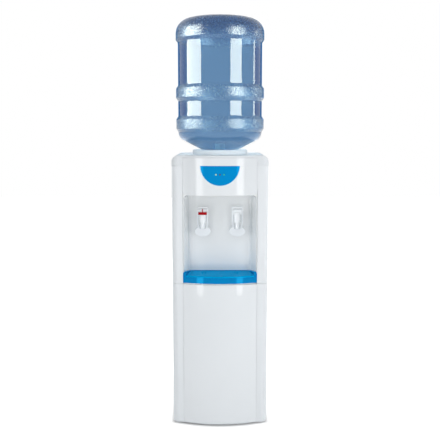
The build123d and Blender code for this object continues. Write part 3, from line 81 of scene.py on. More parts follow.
# grainMm is the bump's feature size, driftMm that of the slow change in colour and gloss
# a real grain that is finer than the render's pixels is drawn at a size that shows
def mouldedPlastic(look):
    material, tree = newMaterial(look["name"])
    place = addNode(tree, "ShaderNodeTexCoord").outputs["Object"]
    drift = addNode(tree, "ShaderNodeTexNoise", {
        "Vector": place, "Scale": 1000 / look["driftMm"],
        "Detail": finishRules["driftDetail"]}).outputs["Fac"]
    grain = addNode(tree, "ShaderNodeTexNoise", {
        "Vector": place, "Scale": 1000 / look["grainMm"],
        "Detail": finishRules["grainDetail"]}).outputs["Fac"]
    tint = addNode(tree, "ShaderNodeMixRGB", {
        "Fac": drift, "Color1": hexToLinear(look["color"]), "Color2": hexToLinear(look["shade"])})
    gloss = addNode(tree, "ShaderNodeMapRange", {
        "Value": drift, "To Min": look["roughness"] * (1 - finishRules["swing"]),
        "To Max": look["roughness"] * (1 + finishRules["swing"])})
    bump = addNode(tree, "ShaderNodeBump", {
        "Height": grain, "Strength": look["grain"], "Distance": finishRules["plasticDepth"]})
    skin = addNode(tree, "ShaderNodeBsdfPrincipled", {
        "Base Color": tint.outputs["Color"], "Roughness": gloss.outputs["Result"],
        "Normal": bump.outputs["Normal"], "IOR": look["ior"]})
    if "mirror" in look:  # strength of the reflection, 0.5 being plain plastic, and its hue
        skin.inputs["Specular IOR Level"].default_value = look["mirror"]
        skin.inputs["Specular Tint"].default_value = hexToLinear(look["mirrorTint"])
    if "glow" in look:
        skin.inputs["Emission Color"].default_value = hexToLinear(look["color"])
        skin.inputs["Emission Strength"].default_value = look["glow"]
    addNode(tree, "ShaderNodeOutputMaterial", {"Surface": skin.outputs["BSDF"]})
    return material


# streakMm is the spacing of the rolling or brushing lines, drawn out along one axis
def rolledMetal(look):
    material, tree = newMaterial(look["name"])
    place = addNode(tree, "ShaderNodeTexCoord").outputs["Object"]
    along = addNode(tree, "ShaderNodeMapping", {"Vector": place, "Scale": look["stretch"]})
    streak = addNode(tree, "ShaderNodeTexNoise", {
        "Vector": along.outputs["Vector"], "Scale": 1000 / look["streakMm"],
        "Detail": finishRules["streakDetail"]}).outputs["Fac"]
    tint = addNode(tree, "ShaderNodeMixRGB", {
        "Fac": streak, "Color1": hexToLinear(look["color"]), "Color2": hexToLinear(look["shade"])})
    gloss = addNode(tree, "ShaderNodeMapRange", {
        "Value": streak, "From Min": finishRules["streakRange"][0], "From Max": finishRules["streakRange"][1],
        "To Min": look["roughness"] * (1 - finishRules["swing"]),
        "To Max": look["roughness"] * (1 + finishRules["swing"])})
    bump = addNode(tree, "ShaderNodeBump", {
        "Height": streak, "Strength": look["grain"], "Distance": finishRules["metalDepth"]})
    skin = addNode(tree, "ShaderNodeBsdfPrincipled", {
        "Base Color": tint.outputs["Color"], "Roughness": gloss.outputs["Result"],
        "Normal": bump.outputs["Normal"], "Metallic": 1.0})
    addNode(tree, "ShaderNodeOutputMaterial", {"Surface": skin.outputs["BSDF"]})
    return material


# pressed beads: pale cells with slightly darker joints
def beadFoam(look):
    material, tree = newMaterial(look["name"])
    place = addNode(tree, "ShaderNodeTexCoord").outputs["Object"]
    cells = addNode(tree, "ShaderNodeTexVoronoi", {
        "Vector": place, "Scale": 1000 / look["beadMm"]}).outputs["Distance"]
    tint = addNode(tree, "ShaderNodeMixRGB", {
        "Fac": cells, "Color1": hexToLinear(look["color"]), "Color2": hexToLinear(look["shade"])})
    bump = addNode(tree, "ShaderNodeBump", {
        "Height": cells, "Strength": look["relief"], "Distance": look["depth"]}, invert=True)
    skin = addNode(tree, "ShaderNodeBsdfPrincipled", {
        "Base Color": tint.outputs["Color"], "Roughness": look["roughness"],
        "Normal": bump.outputs["Normal"]})
    addNode(tree, "ShaderNodeOutputMaterial", {"Surface": skin.outputs["BSDF"]})
    return material


# injection-moulded ABS, polished tool: even white with crisp broad reflections and a faint ripple
whiteAbs = mouldedPlastic({
    "name": "whiteAbsGloss", "color": "#e6ebef", "shade": "#e2e7eb", "roughness": 0.04, "ior": 1.53,
    "grainMm": 9.0, "grain": 0.04, "driftMm": 160.0})  # ripple drawn at 9 mm so that it shows
# the same ABS for the niche, drawn a more neutral white: painted light, a colour shift against the tint that
# light gains going to and fro between its walls
nicheAbs = mouldedPlastic({
    "name": "whiteAbsNiche", "color": "#e7eaeb", "shade": "#e3e6e7", "roughness": 0.06, "ior": 1.53,
    "grainMm": 9.0, "grain": 0.04, "driftMm": 160.0})
# the same ABS from a spark-eroded tool: a satin skin on the side panels
satinAbs = mouldedPlastic({
    "name": "whiteAbsSatin", "color": "#e6ebef", "shade": "#e1e6ea", "roughness": 0.35, "ior": 1.53,
    "grainMm": 3.5, "grain": 0.1, "driftMm": 200.0})  # real grit is 0.3 mm, drawn coarser to show
# lightly textured ABS on the lid and collar: keeps its own tone when seen along its top
lidAbs = mouldedPlastic({
    "name": "whiteAbsTextured", "color": "#e6ebef", "shade": "#e2e7eb", "roughness": 0.5, "ior": 1.53,
    "grainMm": 3.0, "grain": 0.08, "driftMm": 120.0, "mirror": 0.08, "mirrorTint": "#ffffff"})
# dyed ABS, high gloss: saturated blue whose reflections stay blue
blueAbs = mouldedPlastic({
    "name": "blueAbsGloss", "color": "#0076ba", "shade": "#006fb2", "roughness": 0.05, "ior": 1.53,
    "grainMm": 6.0, "grain": 0.03, "driftMm": 90.0, "mirror": 1.0, "mirrorTint": "#28c4f8"})
# the same blue ABS with a satin face, drawn a lighter blue: painted light on the upward faces of the tray and
# grate, which keeps its colour when seen at a low angle
litBlueSatin = mouldedPlastic({
    "name": "blueAbsSatinLit", "color": "#00aae8", "shade": "#00a2e0", "roughness": 0.5, "ior": 1.53,
    "grainMm": 2.5, "grain": 0.15, "driftMm": 60.0, "mirror": 0.02, "mirrorTint": "#1cc8ff"})
# tinted acrylic window, polished: a smooth even blue, a touch lighter than the tray's front
windowAcrylic = mouldedPlastic({
    "name": "blueAcrylic", "color": "#0080c6", "shade": "#0079be", "roughness": 0.04, "ior": 1.49,
    "grainMm": 9.0, "grain": 0.02, "driftMm": 60.0, "mirror": 1.0, "mirrorTint": "#20c0f8"})
# pale ABS trim, satin: a soft light line round the window
rimAbs = mouldedPlastic({
    "name": "paleRimAbs", "color": "#c8e6f2", "shade": "#bcdfee", "roughness": 0.25, "ior": 1.53,
    "grainMm": 4.0, "grain": 0.03, "driftMm": 40.0})
# red ABS, satin: a deep even red with a weak pink glint
redAbs = mouldedPlastic({
    "name": "redAbs", "color": "#a40d19", "shade": "#920813", "roughness": 0.3, "ior": 1.53,
    "grainMm": 3.0, "grain": 0.06, "driftMm": 15.0, "mirror": 0.15, "mirrorTint": "#ffb0b0"})
# green ABS, satin: an even green rocker with a soft highlight
greenAbs = mouldedPlastic({
    "name": "greenAbs", "color": "#1c7a46", "shade": "#176c3d", "roughness": 0.3, "ior": 1.53,
    "grainMm": 3.0, "grain": 0.06, "driftMm": 15.0})
# polyethylene cap and plug, moulded: soft, slightly waxy pale blue
capPolythene = mouldedPlastic({
    "name": "bluePolythene", "color": "#bccbd6", "shade": "#b2c2ce", "roughness": 0.5, "ior": 1.51,
    "grainMm": 3.0, "grain": 0.1, "driftMm": 25.0})
# acrylic light pipes, polished: small clean dots, two of them faintly lit from behind
lampWhite = mouldedPlastic({
    "name": "lampPipeWhite", "color": "#bfe6b8", "shade": "#b2dcaa", "roughness": 0.15, "ior": 1.49,
    "grainMm": 2.0, "grain": 0.03, "driftMm": 5.0, "glow": 0.1})
lampRed = mouldedPlastic({
    "name": "lampPipeRed", "color": "#4c2148", "shade": "#431c40", "roughness": 0.15, "ior": 1.49,
    "grainMm": 2.0, "grain": 0.03, "driftMm": 5.0})
lampGreen = mouldedPlastic({
    "name": "lampPipeGreen", "color": "#2cbc94", "shade": "#22b088", "roughness": 0.15, "ior": 1.49,
    "grainMm": 2.0, "grain": 0.03, "driftMm": 5.0, "glow": 0.1})
# glass-filled nylon: black with a dull grain
blackNylon = mouldedPlastic({
    "name": "blackNylon", "color": "#17181a", "shade": "#101113", "roughness": 0.5, "ior": 1.53,
    "grainMm": 1.5, "grain": 0.2, "driftMm": 12.0})
# nitrile feet and grommets: matt, dusty black
rubber = mouldedPlastic({
    "name": "nitrileRubber", "color": "#1b1b1c", "shade": "#232324", "roughness": 0.75, "ior": 1.52,
    "grainMm": 2.0, "grain": 0.3, "driftMm": 10.0})
# translucent silicone hose: milky and soft
silicone = mouldedPlastic({
    "name": "milkySilicone", "color": "#dcdad2", "shade": "#d0cec5", "roughness": 0.45, "ior": 1.41,
    "grainMm": 3.0, "grain": 0.1, "driftMm": 20.0})
# powder-coated steel sheet: grey with orange-peel ripple
greySheet = mouldedPlastic({
    "name": "greyPowderCoat", "color": "#a9adb1", "shade": "#a1a5a9", "roughness": 0.42, "ior": 1.5,
    "grainMm": 2.5, "grain": 0.25, "driftMm": 120.0})
# black stove enamel on the condenser and compressor: deep black with a soft, slightly uneven sheen
blackEnamel = mouldedPlastic({
    "name": "blackEnamel", "color": "#141416", "shade": "#1d1d20", "roughness": 0.35, "ior": 1.5,
    "grainMm": 2.0, "grain": 0.18, "driftMm": 30.0})
# fibreglass board under green solder resist: dark green with a waxy gloss
boardResist = mouldedPlastic({
    "name": "greenSolderResist", "color": "#125c30", "shade": "#0e4f28", "roughness": 0.3, "ior": 1.5,
    "grainMm": 1.5, "grain": 0.15, "driftMm": 9.0})
# drawn stainless steel: grey metal with lines round the tanks that stretch its highlights
stainless = rolledMetal({
    "name": "drawnStainless", "color": "#c4c5c6", "shade": "#aeb0b2", "roughness": 0.32, "grain": 0.15,
    "streakMm": 3.0, "stretch": (0.15, 0.15, 3.0)})
# annealed copper tube: warm brown-pink metal with dull patches
copperTube = rolledMetal({
    "name": "annealedCopper", "color": "#b87a5c", "shade": "#9c6048", "roughness": 0.35, "grain": 0.1,
    "streakMm": 6.0, "stretch": (1.0, 1.0, 1.0)})
# plated brass pins: pale yellowish metal with fine drawn lines
tinnedBrass = rolledMetal({
    "name": "platedBrassPins", "color": "#cfc8b4", "shade": "#bdb59f", "roughness": 0.25, "grain": 0.05,
    "streakMm": 1.0, "stretch": (1.0, 0.2, 1.0)})
# expanded polystyrene, moulded: matt white beads with greyer joints
foam = beadFoam({
    "name": "beadFoam", "color": "#f2f1ec", "shade": "#d8d6cf", "beadMm": 4.0, "relief": 0.4, "depth": 0.0005,
    "roughness": 0.85})
print("materials made")

nodeLook = {
    "rubber_feet": rubber, "compressor_grommets": rubber,
    "base_pan": satinAbs, "lower_right_panel": satinAbs, "lower_left_panel": satinAbs,
    "upper_right_panel": satinAbs, "upper_left_panel": satinAbs, "top_cover": lidAbs,
    "lower_front_panel": whiteAbs, "upper_fascia": whiteAbs, "niche": nicheAbs, "bottle_collar": lidAbs,
    "hot_tap_body": whiteAbs, "cold_tap_body": whiteAbs, "hot_tap_lever": whiteAbs,
    "cold_tap_lever": whiteAbs, "tap_nuts": whiteAbs, "feed_spike": whiteAbs, "cold_tank_lid": whiteAbs,
    "drain_fittings": whiteAbs, "hot_drain_cap": whiteAbs, "cold_drain_cap": whiteAbs,
    "drip_tray": blueAbs, "drip_grate": litBlueSatin, "indicator_window": windowAcrylic,
    "bottle_cap": capPolythene, "cap_plug": capPolythene,
    "hot_safety_lock": redAbs, "hot_switch": redAbs, "cold_switch": greenAbs,
    "power_light": lampWhite, "heating_light": lampRed, "cooling_light": lampGreen,
    "power_inlet": blackNylon, "switch_housings": blackNylon, "start_relay": blackNylon,
    "cold_hose": silicone, "hot_hose": silicone, "feed_hose": silicone, "cold_drain_hose": silicone,
    "hot_drain_hose": silicone, "hot_valve_plug": silicone, "cold_valve_plug": silicone,
    "rear_panel": greySheet, "upper_shelf": greySheet, "lower_shelf": greySheet,
    "cold_tank": stainless, "hot_tank": stainless, "band_heater": stainless, "lever_pins": stainless,
    "rear_screws": stainless, "compressor": blackEnamel, "condenser_tube": blackEnamel,
    "condenser_wires": blackEnamel, "condenser_standoffs": blackNylon, "evaporator_coil": copperTube,
    "cold_tank_insulation": foam, "hot_tank_pad": foam, "control_board": boardResist,
}
for node, material in nodeLook.items():
    nodeOf[node].data.materials.clear()
    nodeOf[node].data.materials.append(material)
print("CAD nodes dressed:", len(nodeLook))


def meshPiece(name, verts, faces, material):
    mesh = bpy.data.meshes.new(name)
    mesh.from_pydata(verts, [], faces)
    mesh.materials.append(material)
    piece = bpy.data.objects.new(name, mesh)
    scene.collection.objects.link(piece)
    return piece


# evaluated modifiers become the piece's own mesh
def freeze(piece):
    shape = bpy.data.meshes.new_from_object(piece.evaluated_get(bpy.context.evaluated_depsgraph_get()))
    piece.modifiers.clear()
    piece.data = shape
    return piece


# the piece goes with its node's body
def carry(piece, node):
    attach(piece, bodyOf[node])
    return piece


# smooth stand-in for a CAD node: merged copy, edges rounded by these millimetres, even shading
skinEdges = {
    "upper_fascia": 2.5, "lower_front_panel": 0.8, "lower_right_panel": 0.8, "lower_left_panel": 0.8,
    "upper_right_panel": 0.8, "upper_left_panel": 0.8, "top_cover": 0.9, "bottle_collar": 0.8, "niche": 0.6,
    "base_pan": 1.6, "drip_tray": 0.6, "drip_grate": 0.4, "indicator_window": 0.3,
    "hot_tap_body": 0.6, "cold_tap_body": 0.6, "hot_tap_lever": 0.9, "cold_tap_lever": 0.9,
    "hot_safety_lock": 0.5, "bottle_cap": 0.4, "cap_plug": 0.4, "feed_spike": 0.3,
    "hot_drain_cap": 0.4, "cold_drain_cap": 0.4, "hot_switch": 0.4, "cold_switch": 0.4,
    "switch_housings": 0.4, "power_inlet": 0.3, "rubber_feet": 0.6, "compressor": 0.6,
}
skinRules = {"merge": 3e-6, "flat": 0.05, "sharp": 38.0, "segments": 2}  # metres, degrees, degrees
for node, edge in skinEdges.items():
    source = nodeOf[node].data
    piece = meshPiece(
        f"{node}_skin", [v.co[:] for v in source.vertices], [p.vertices[:] for p in source.polygons],
        nodeLook[node])
    work = bmesh.new()
    work.from_mesh(piece.data)
    bmesh.ops.remove_doubles(work, verts=work.verts, dist=skinRules["merge"])
    bmesh.ops.dissolve_limit(
        work, angle_limit=math.radians(skinRules["flat"]), verts=work.verts, edges=work.edges)
    work.to_mesh(piece.data)
    work.free()
    piece.data.shade_smooth()
    bevel = piece.modifiers.new("roundedEdges", "BEVEL")
    bevel.width = edge / 1000
    bevel.segments = skinRules["segments"]
    bevel.limit_method = "ANGLE"
    bevel.angle_limit = math.radians(skinRules["sharp"])
    even = piece.modifiers.new("evenShade", "WEIGHTED_NORMAL")
    even.keep_sharp = True
    freeze(piece)
    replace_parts(carry(piece, node), node)
print("smooth skins:", len(skinEdges))

# panels of one section all the way up: upright faces share normals by their place in that section
straightRun = {
    "nodes": ("lower_right_panel", "lower_left_panel", "upper_right_panel", "upper_left_panel",
              "lower_front_panel", "upper_fascia"),
    "upright": 0.02, "placeDigits": 5, "turnDigits": 3, "sharp": 38.0,  # upright: most that a normal may lean
}
for node in straightRun["nodes"]:
    mesh = bpy.data.objects[f"{node}_skin"].data
    normals = [corner.vector.copy() for corner in mesh.corner_normals]
    spotOf = [tuple(round(value, straightRun["placeDigits"]) for value in v.co[:2]) for v in mesh.vertices]
    uprights = [face for face in mesh.polygons if abs(face.normal.z) < straightRun["upright"]]
    weight, meeting = {}, {}
    for face in uprights:
        facing = tuple(round(value, straightRun["turnDigits"]) for value in face.normal)
        weight[facing] = weight.get(facing, 0.0) + face.area
        for v in face.vertices:
            meeting.setdefault(spotOf[v], set()).add(facing)
    for face in uprights:
        for loop, v in zip(face.loop_indices, face.vertices):
            total = Vector()
            for facing in meeting[spotOf[v]]:
                if face.normal.angle(Vector(facing)) < math.radians(straightRun["sharp"]):
                    total += weight[facing] * Vector(facing)
            normals[loop] = total.normalized()
    mesh.normals_split_custom_set(normals)
print("panel normals set")

# bottle, in millimetres: the outline gives each corner's radius, height and rounding
# its beads are about 2 mm on a real bottle and are drawn at 4.4 mm so that they show
bottle = {
    "outline": [
        (0, 1233, 0), (66, 1233, 3), (74, 1241, 3), (136, 1241, 44), (136, 1179, 3), (129.7, 1169.5, 3),
        (129.7, 1041, 3), (136, 1031.5, 3), (136, 1003, 3), (129.7, 993.5, 3),
        (129.7, 947, 3), (136, 937.5, 3), (136, 909, 3), (129.7, 899.5, 3),
        (129.7, 880.3, 28), (27.5, 829.7, 6), (27.5, 775.5, 0)],
    "wall": 2.0, "segments": 160, "arcSteps": 8, "mergeMm": 0.001,
    "bands": [(1169.5, 1260), (993.5, 1041), (899.5, 947)], "bandSpan": (750, 1300), "bandFade": 2.0,
    "foot": (1180, 1200), "footShare": 0.7,
    # the bands' lighter bead colour is partly real grain and partly a painted highlight
    "color": "#aecbe0", "frostColor": "#98b8d4", "beadGlintColor": "#c2dbe8", "topColor": "#7d9fc4",
    "depthColor": "#4f98c4", "depth": 165.0, "ior": 1.44,
    "beadMm": 4.4, "beadDetail": 2.0, "beadRoughness": 0.6, "sparkle": (0.35, 0.65),
    "relief": 0.75, "reliefMm": 1.0, "clear": 0.02, "frosted": 0.1, "rough": 0.28,
}


# polycarbonate, blow-moulded: clear blue walls, grained bands
def bottleResin(look):
    material, tree = newMaterial("bluePolycarbonate")
    place = addNode(tree, "ShaderNodeTexCoord").outputs["Object"]
    height = addNode(tree, "ShaderNodeSeparateXYZ", {"Vector": place}).outputs["Z"]
    low, high = look["bandSpan"]
    level = addNode(tree, "ShaderNodeMapRange", {
        "Value": height, "From Min": low / 1000, "From Max": high / 1000})
    ramp = addNode(tree, "ShaderNodeValToRGB", {"Fac": level.outputs["Result"]})
    stops = ramp.color_ramp.elements
    stops[0].color = (0, 0, 0, 1)
    stops[1].color = (1, 1, 1, 1)
    fade = look["bandFade"]
    for bottom, top in look["bands"]:  # white inside each band, black between them
        for spot, tone in ((bottom - fade, 0), (bottom + fade, 1), (top - fade, 1), (top + fade, 0)):
            stops.new((spot - low) / (high - low)).color = (tone, tone, tone, 1)
    banded = ramp.outputs["Color"]
    beads = addNode(tree, "ShaderNodeTexNoise", {
        "Vector": place, "Scale": 1000 / look["beadMm"], "Detail": look["beadDetail"],
        "Roughness": look["beadRoughness"]}).outputs["Fac"]
    relief = addNode(tree, "ShaderNodeMath", {0: beads, 1: banded}, operation="MULTIPLY")
    bump = addNode(tree, "ShaderNodeBump", {
        "Height": relief.outputs["Value"], "Strength": look["relief"], "Distance": look["reliefMm"] / 1000})
    # frosted bands: every bead has its own gloss and depth of colour, and the lighter beads carry a painted
    # highlight
    sparkle = addNode(tree, "ShaderNodeMapRange", {
        "Value": beads, "From Min": look["sparkle"][0], "From Max": look["sparkle"][1]})
    matt = addNode(tree, "ShaderNodeMapRange", {
        "Value": sparkle.outputs["Result"], "To Min": look["frosted"], "To Max": look["rough"]})
    gloss = addNode(tree, "ShaderNodeMapRange", {
        "Value": banded, "To Min": look["clear"], "To Max": matt.outputs["Result"]})
    frost = addNode(tree, "ShaderNodeMixRGB", {
        "Fac": sparkle.outputs["Result"], "Color1": hexToLinear(look["frostColor"]),
        "Color2": hexToLinear(look["beadGlintColor"])})
    # darker towards the top of the bottle as it stands, where its foot is
    foot = addNode(tree, "ShaderNodeMapRange", {
        "Value": height, "From Min": look["foot"][0] / 1000, "From Max": look["foot"][1] / 1000,
        "To Max": look["footShare"]})
    frost = addNode(tree, "ShaderNodeMixRGB", {
        "Fac": foot.outputs["Result"], "Color1": frost.outputs["Color"],
        "Color2": hexToLinear(look["topColor"])})
    tint = addNode(tree, "ShaderNodeMixRGB", {
        "Fac": banded, "Color1": hexToLinear(look["color"]), "Color2": frost.outputs["Color"]})
    skin = addNode(tree, "ShaderNodeBsdfPrincipled", {
        "Base Color": tint.outputs["Color"], "Roughness": gloss.outputs["Result"],
        "Transmission Weight": 1.0, "IOR": look["ior"], "Normal": bump.outputs["Normal"]})
    body = addNode(tree, "ShaderNodeVolumeAbsorption", {
        "Color": hexToLinear(look["depthColor"]), "Density": look["depth"]})
    addNode(tree, "ShaderNodeOutputMaterial", {
        "Surface": skin.outputs["BSDF"], "Volume": body.outputs["Volume"]})
    return material


# corners of an open outline swapped for arcs
def roundedOutline(corners, steps):
    points = []
    for i, (r, z, radius) in enumerate(corners):
        here = Vector((r, z))
        if radius == 0 or i in (0, len(corners) - 1):
            points.append(here)
            continue
        before = (Vector(corners[i - 1][:2]) - here).normalized()
        after = (Vector(corners[i + 1][:2]) - here).normalized()
        half = before.angle(after) / 2
        reach = radius / math.tan(half)
        centre = here + (before + after).normalized() * radius / math.sin(half)
        start, end = here + before * reach - centre, here + after * reach - centre
        turn = start.angle_signed(end)
        for k in range(steps + 1):
            angle = -turn * k / steps
            points.append(centre + Vector((
                start.x * math.cos(angle) - start.y * math.sin(angle),
                start.x * math.sin(angle) + start.y * math.cos(angle))))
    return points


outline = roundedOutline(bottle["outline"], bottle["arcSteps"])
verts, faces, count = [], [], bottle["segments"]
for p in outline:
    for k in range(count):
        angle = math.tau * k / count
        verts.append((p.x * math.cos(angle) / 1000, p.x * math.sin(angle) / 1000, p.y / 1000))
for ring in range(len(outline) - 1):
    for k in range(count):
        a, b = ring * count + k, ring * count + (k + 1) % count
        faces.append((a, a + count, b + count, b))
shell = meshPiece("bottle_shell", verts, faces, bottleResin(bottle))
work = bmesh.new()
work.from_mesh(shell.data)
bmesh.ops.remove_doubles(work, verts=work.verts, dist=bottle["mergeMm"] / 1000)
bmesh.ops.recalc_face_normals(work, faces=work.faces)
work.to_mesh(shell.data)
work.free()
shell.data.shade_smooth()
wall = shell.modifiers.new("wall", "SOLIDIFY")
wall.thickness = bottle["wall"] / 1000
wall.offset = -1
freeze(shell)
shell.visible_shadow = False  # clear walls let the lamps through to the collar
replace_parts(carry(shell, "bottle"), "bottle")
print("bottle made")

# pale rim set along the indicator window's curve, on the fascia's bow
rim = {"top": 800.5, "radius": 59.5, "outer": 0.2, "inner": -1.7, "front": 0.04, "back": 0.4, "steps": 72,
       "apex": 152.0, "bowHalf": 112.0, "bow": 20.0}
bowRadius = (rim["bowHalf"] ** 2 + rim["bow"] ** 2) / (2 * rim["bow"])
verts, faces = [], []
for k in range(rim["steps"] + 1):
    angle = math.pi * (1 + k / rim["steps"])
    for margin, inset in ((rim["outer"], rim["front"]), (rim["inner"], rim["front"]),
                          (rim["inner"], rim["back"]), (rim["outer"], rim["back"])):
        x = (rim["radius"] + margin) * math.cos(angle)
        z = rim["top"] + (rim["radius"] + margin) * math.sin(angle)
        y = bowRadius - rim["apex"] - math.sqrt((bowRadius - inset) ** 2 - x ** 2)
        verts.append((x / 1000, y / 1000, z / 1000))
for k in range(rim["steps"]):
    faces += [(4 * k + j, 4 * k + (j + 1) % 4, 4 * k + 4 + (j + 1) % 4, 4 * k + 4 + j) for j in range(4)]
faces += [(0, 1, 2, 3), tuple(4 * rim["steps"] + j for j in (3, 2, 1, 0))]
windowRim = meshPiece("window_rim", verts, faces, rimAbs)
work = bmesh.new()
work.from_mesh(windowRim.data)
bmesh.ops.recalc_face_normals(work, faces=work.faces)
work.to_mesh(windowRim.data)
work.free()
carry(windowRim, "indicator_window")
print("window rim made")


# a geometry node tree with its named inputs
def newTree(name, sizes):
    tree = bpy.data.node_groups.new(name, "GeometryNodeTree")
    for label, kind in {**sizes, "finish": "NodeSocketMaterial"}.items():
        tree.interface.new_socket(label, in_out="INPUT", socket_type=kind)
    tree.interface.new_socket("Geometry", in_out="OUTPUT", socket_type="NodeSocketGeometry")
    return tree, addNode(tree, "NodeGroupInput").outputs


# instances made real, with their material, as the tree's result
def closeTree(tree, given, shape):
    real = addNode(tree, "GeometryNodeRealizeInstances", {"Geometry": shape})
    done = addNode(tree, "GeometryNodeSetMaterial", {
        "Geometry": real.outputs["Geometry"], "Material": given["finish"]})
    addNode(tree, "NodeGroupOutput", {"Geometry": done.outputs["Geometry"]})


def grow(name, tree, values, material):
    piece = meshPiece(name, [], [], material)
    step = piece.modifiers.new("grow", "NODES")
    step.node_group = tree
    for item in tree.interface.items_tree:
        if item.in_out == "INPUT":
            step[item.identifier] = {**values, "finish": material}[item.name]
    return freeze(piece)


length, number, place3 = "NodeSocketFloat", "NodeSocketInt", "NodeSocketVector"

# pan-head screws with a cross recess, up both rear edges
screws = {
    "x": 137.0, "face": 128.0, "rows": 3, "sides": 28,
    "lowAndRise": {"lower_rear_screws": (50.0, 177.0), "upper_rear_screws": (484.0, 138.0)},
    "radius": 3.5, "skirt": 1.2, "crown": 0.8, "taper": 0.66,
    "slot": 3.6, "slotWidth": 0.75, "slotDepth": 2.0,
}
tree, given = newTree("panHeadScrews", {
    "low": place3, "rows": number, "rise": length, "across": length, "radius": length, "skirt": length,
    "crown": length, "taper": length, "slot": length, "slotWidth": length, "slotDepth": length})
head = addNode(tree, "GeometryNodeMeshCylinder", {
    "Vertices": screws["sides"], "Radius": given["radius"], "Depth": given["skirt"]}).outputs
crown = addNode(tree, "GeometryNodeExtrudeMesh", {
    "Mesh": head["Mesh"], "Selection": head["Top"], "Offset Scale": given["crown"]}).outputs
dome = addNode(tree, "GeometryNodeScaleElements", {
    "Geometry": crown["Mesh"], "Selection": crown["Top"], "Scale": given["taper"]})
longWay = addNode(tree, "ShaderNodeCombineXYZ", {
    "X": given["slot"], "Y": given["slotWidth"], "Z": given["slotDepth"]})
crossWay = addNode(tree, "ShaderNodeCombineXYZ", {
    "X": given["slotWidth"], "Y": given["slot"], "Z": given["slotDepth"]})
barA = addNode(tree, "GeometryNodeMeshCube", {"Size": longWay.outputs["Vector"]})
barB = addNode(tree, "GeometryNodeMeshCube", {"Size": crossWay.outputs["Vector"]})
bars = addNode(tree, "GeometryNodeMeshBoolean", {"Mesh 2": barA.outputs["Mesh"]}, operation="UNION")
tree.links.new(barB.outputs["Mesh"], bars.inputs["Mesh 2"])
topOf = addNode(tree, "ShaderNodeMath", {  # half the skirt, then the crown
    0: given["skirt"], 1: 0.5, 2: given["crown"]}, operation="MULTIPLY_ADD")
lifted = addNode(tree, "ShaderNodeCombineXYZ", {"Z": topOf.outputs["Value"]})
recess = addNode(tree, "GeometryNodeTransform", {
    "Geometry": bars.outputs["Mesh"], "Translation": lifted.outputs["Vector"]})
cut = addNode(tree, "GeometryNodeMeshBoolean", {
    "Mesh 1": dome.outputs["Geometry"], "Mesh 2": recess.outputs["Geometry"]}, operation="DIFFERENCE")
facing = addNode(tree, "GeometryNodeTransform", {
    "Geometry": cut.outputs["Mesh"], "Rotation": (-math.pi / 2, 0, 0)})
upward = addNode(tree, "ShaderNodeCombineXYZ", {"Z": given["rise"]})
column = addNode(tree, "GeometryNodeMeshLine", {
    "Count": given["rows"], "Start Location": given["low"], "Offset": upward.outputs["Vector"]})
aside = addNode(tree, "ShaderNodeCombineXYZ", {"X": given["across"]})
other = addNode(tree, "GeometryNodeTransform", {
    "Geometry": column.outputs["Mesh"], "Translation": aside.outputs["Vector"]})
both = addNode(tree, "GeometryNodeJoinGeometry", {"Geometry": column.outputs["Mesh"]})
tree.links.new(other.outputs["Geometry"], both.inputs["Geometry"])
heads = addNode(tree, "GeometryNodeInstanceOnPoints", {
    "Points": both.outputs["Geometry"], "Instance": facing.outputs["Geometry"]})
closeTree(tree, given, heads.outputs["Instances"])
for name, (low, rise) in screws["lowAndRise"].items():
    screwRows = grow(name, tree, {
        "low": (-screws["x"] / 1000, (screws["face"] + screws["skirt"] / 2) / 1000, low / 1000),
        "rows": screws["rows"], "rise": rise / 1000, "across": 2 * screws["x"] / 1000,
        "taper": screws["taper"],
        **{key: screws[key] / 1000 for key in ("radius", "skirt", "crown", "slot", "slotWidth", "slotDepth")},
    }, stainless)
    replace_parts(carry(screwRows, "rear_screws"), "rear_screws")
print("screws made")

# condenser: upright wires, each spot-welded to every run of the tube
wires = {
    "count": 21, "span": 163.2, "y": 151.2, "low": 79.0, "high": 391.0, "radius": 0.8, "sides": 10,
    "weldY": 150.3, "weldLow": 91.0, "weldHigh": 379.0, "runs": 9, "weld": (0.9, 0.6, 1.3),
}
tree, given = newTree("weldedWires", {
    "count": number, "span": length, "low": place3, "tall": length, "radius": length, "sides": number,
    "runs": number, "weldSpan": length, "weldMiddle": place3, "weld": place3})
tip = addNode(tree, "ShaderNodeCombineXYZ", {"Z": given["tall"]})
line = addNode(tree, "GeometryNodeCurvePrimitiveLine", {"End": tip.outputs["Vector"]})
ring = addNode(tree, "GeometryNodeCurvePrimitiveCircle", {
    "Resolution": given["sides"], "Radius": given["radius"]})
wire = addNode(tree, "GeometryNodeCurveToMesh", {
    "Curve": line.outputs["Curve"], "Profile Curve": ring.outputs["Curve"], "Fill Caps": True})
gaps = addNode(tree, "ShaderNodeMath", {0: given["count"], 1: 1.0}, operation="SUBTRACT")
pitch = addNode(tree, "ShaderNodeMath", {0: given["span"], 1: gaps.outputs["Value"]}, operation="DIVIDE")
stepX = addNode(tree, "ShaderNodeCombineXYZ", {"X": pitch.outputs["Value"]})
row = addNode(tree, "GeometryNodeMeshLine", {
    "Count": given["count"], "Start Location": given["low"], "Offset": stepX.outputs["Vector"]})
upright = addNode(tree, "GeometryNodeInstanceOnPoints", {
    "Points": row.outputs["Mesh"], "Instance": wire.outputs["Mesh"]})
grid = addNode(tree, "GeometryNodeMeshGrid", {
    "Size X": given["span"], "Size Y": given["weldSpan"],
    "Vertices X": given["count"], "Vertices Y": given["runs"]})
stood = addNode(tree, "GeometryNodeTransform", {
    "Geometry": grid.outputs["Mesh"], "Rotation": (math.pi / 2, 0, 0), "Translation": given["weldMiddle"]})
bead = addNode(tree, "GeometryNodeMeshIcoSphere", {"Radius": 1.0, "Subdivisions": 1})  # scaled to the weld
welds = addNode(tree, "GeometryNodeInstanceOnPoints", {
    "Points": stood.outputs["Geometry"], "Instance": bead.outputs["Mesh"], "Scale": given["weld"]})
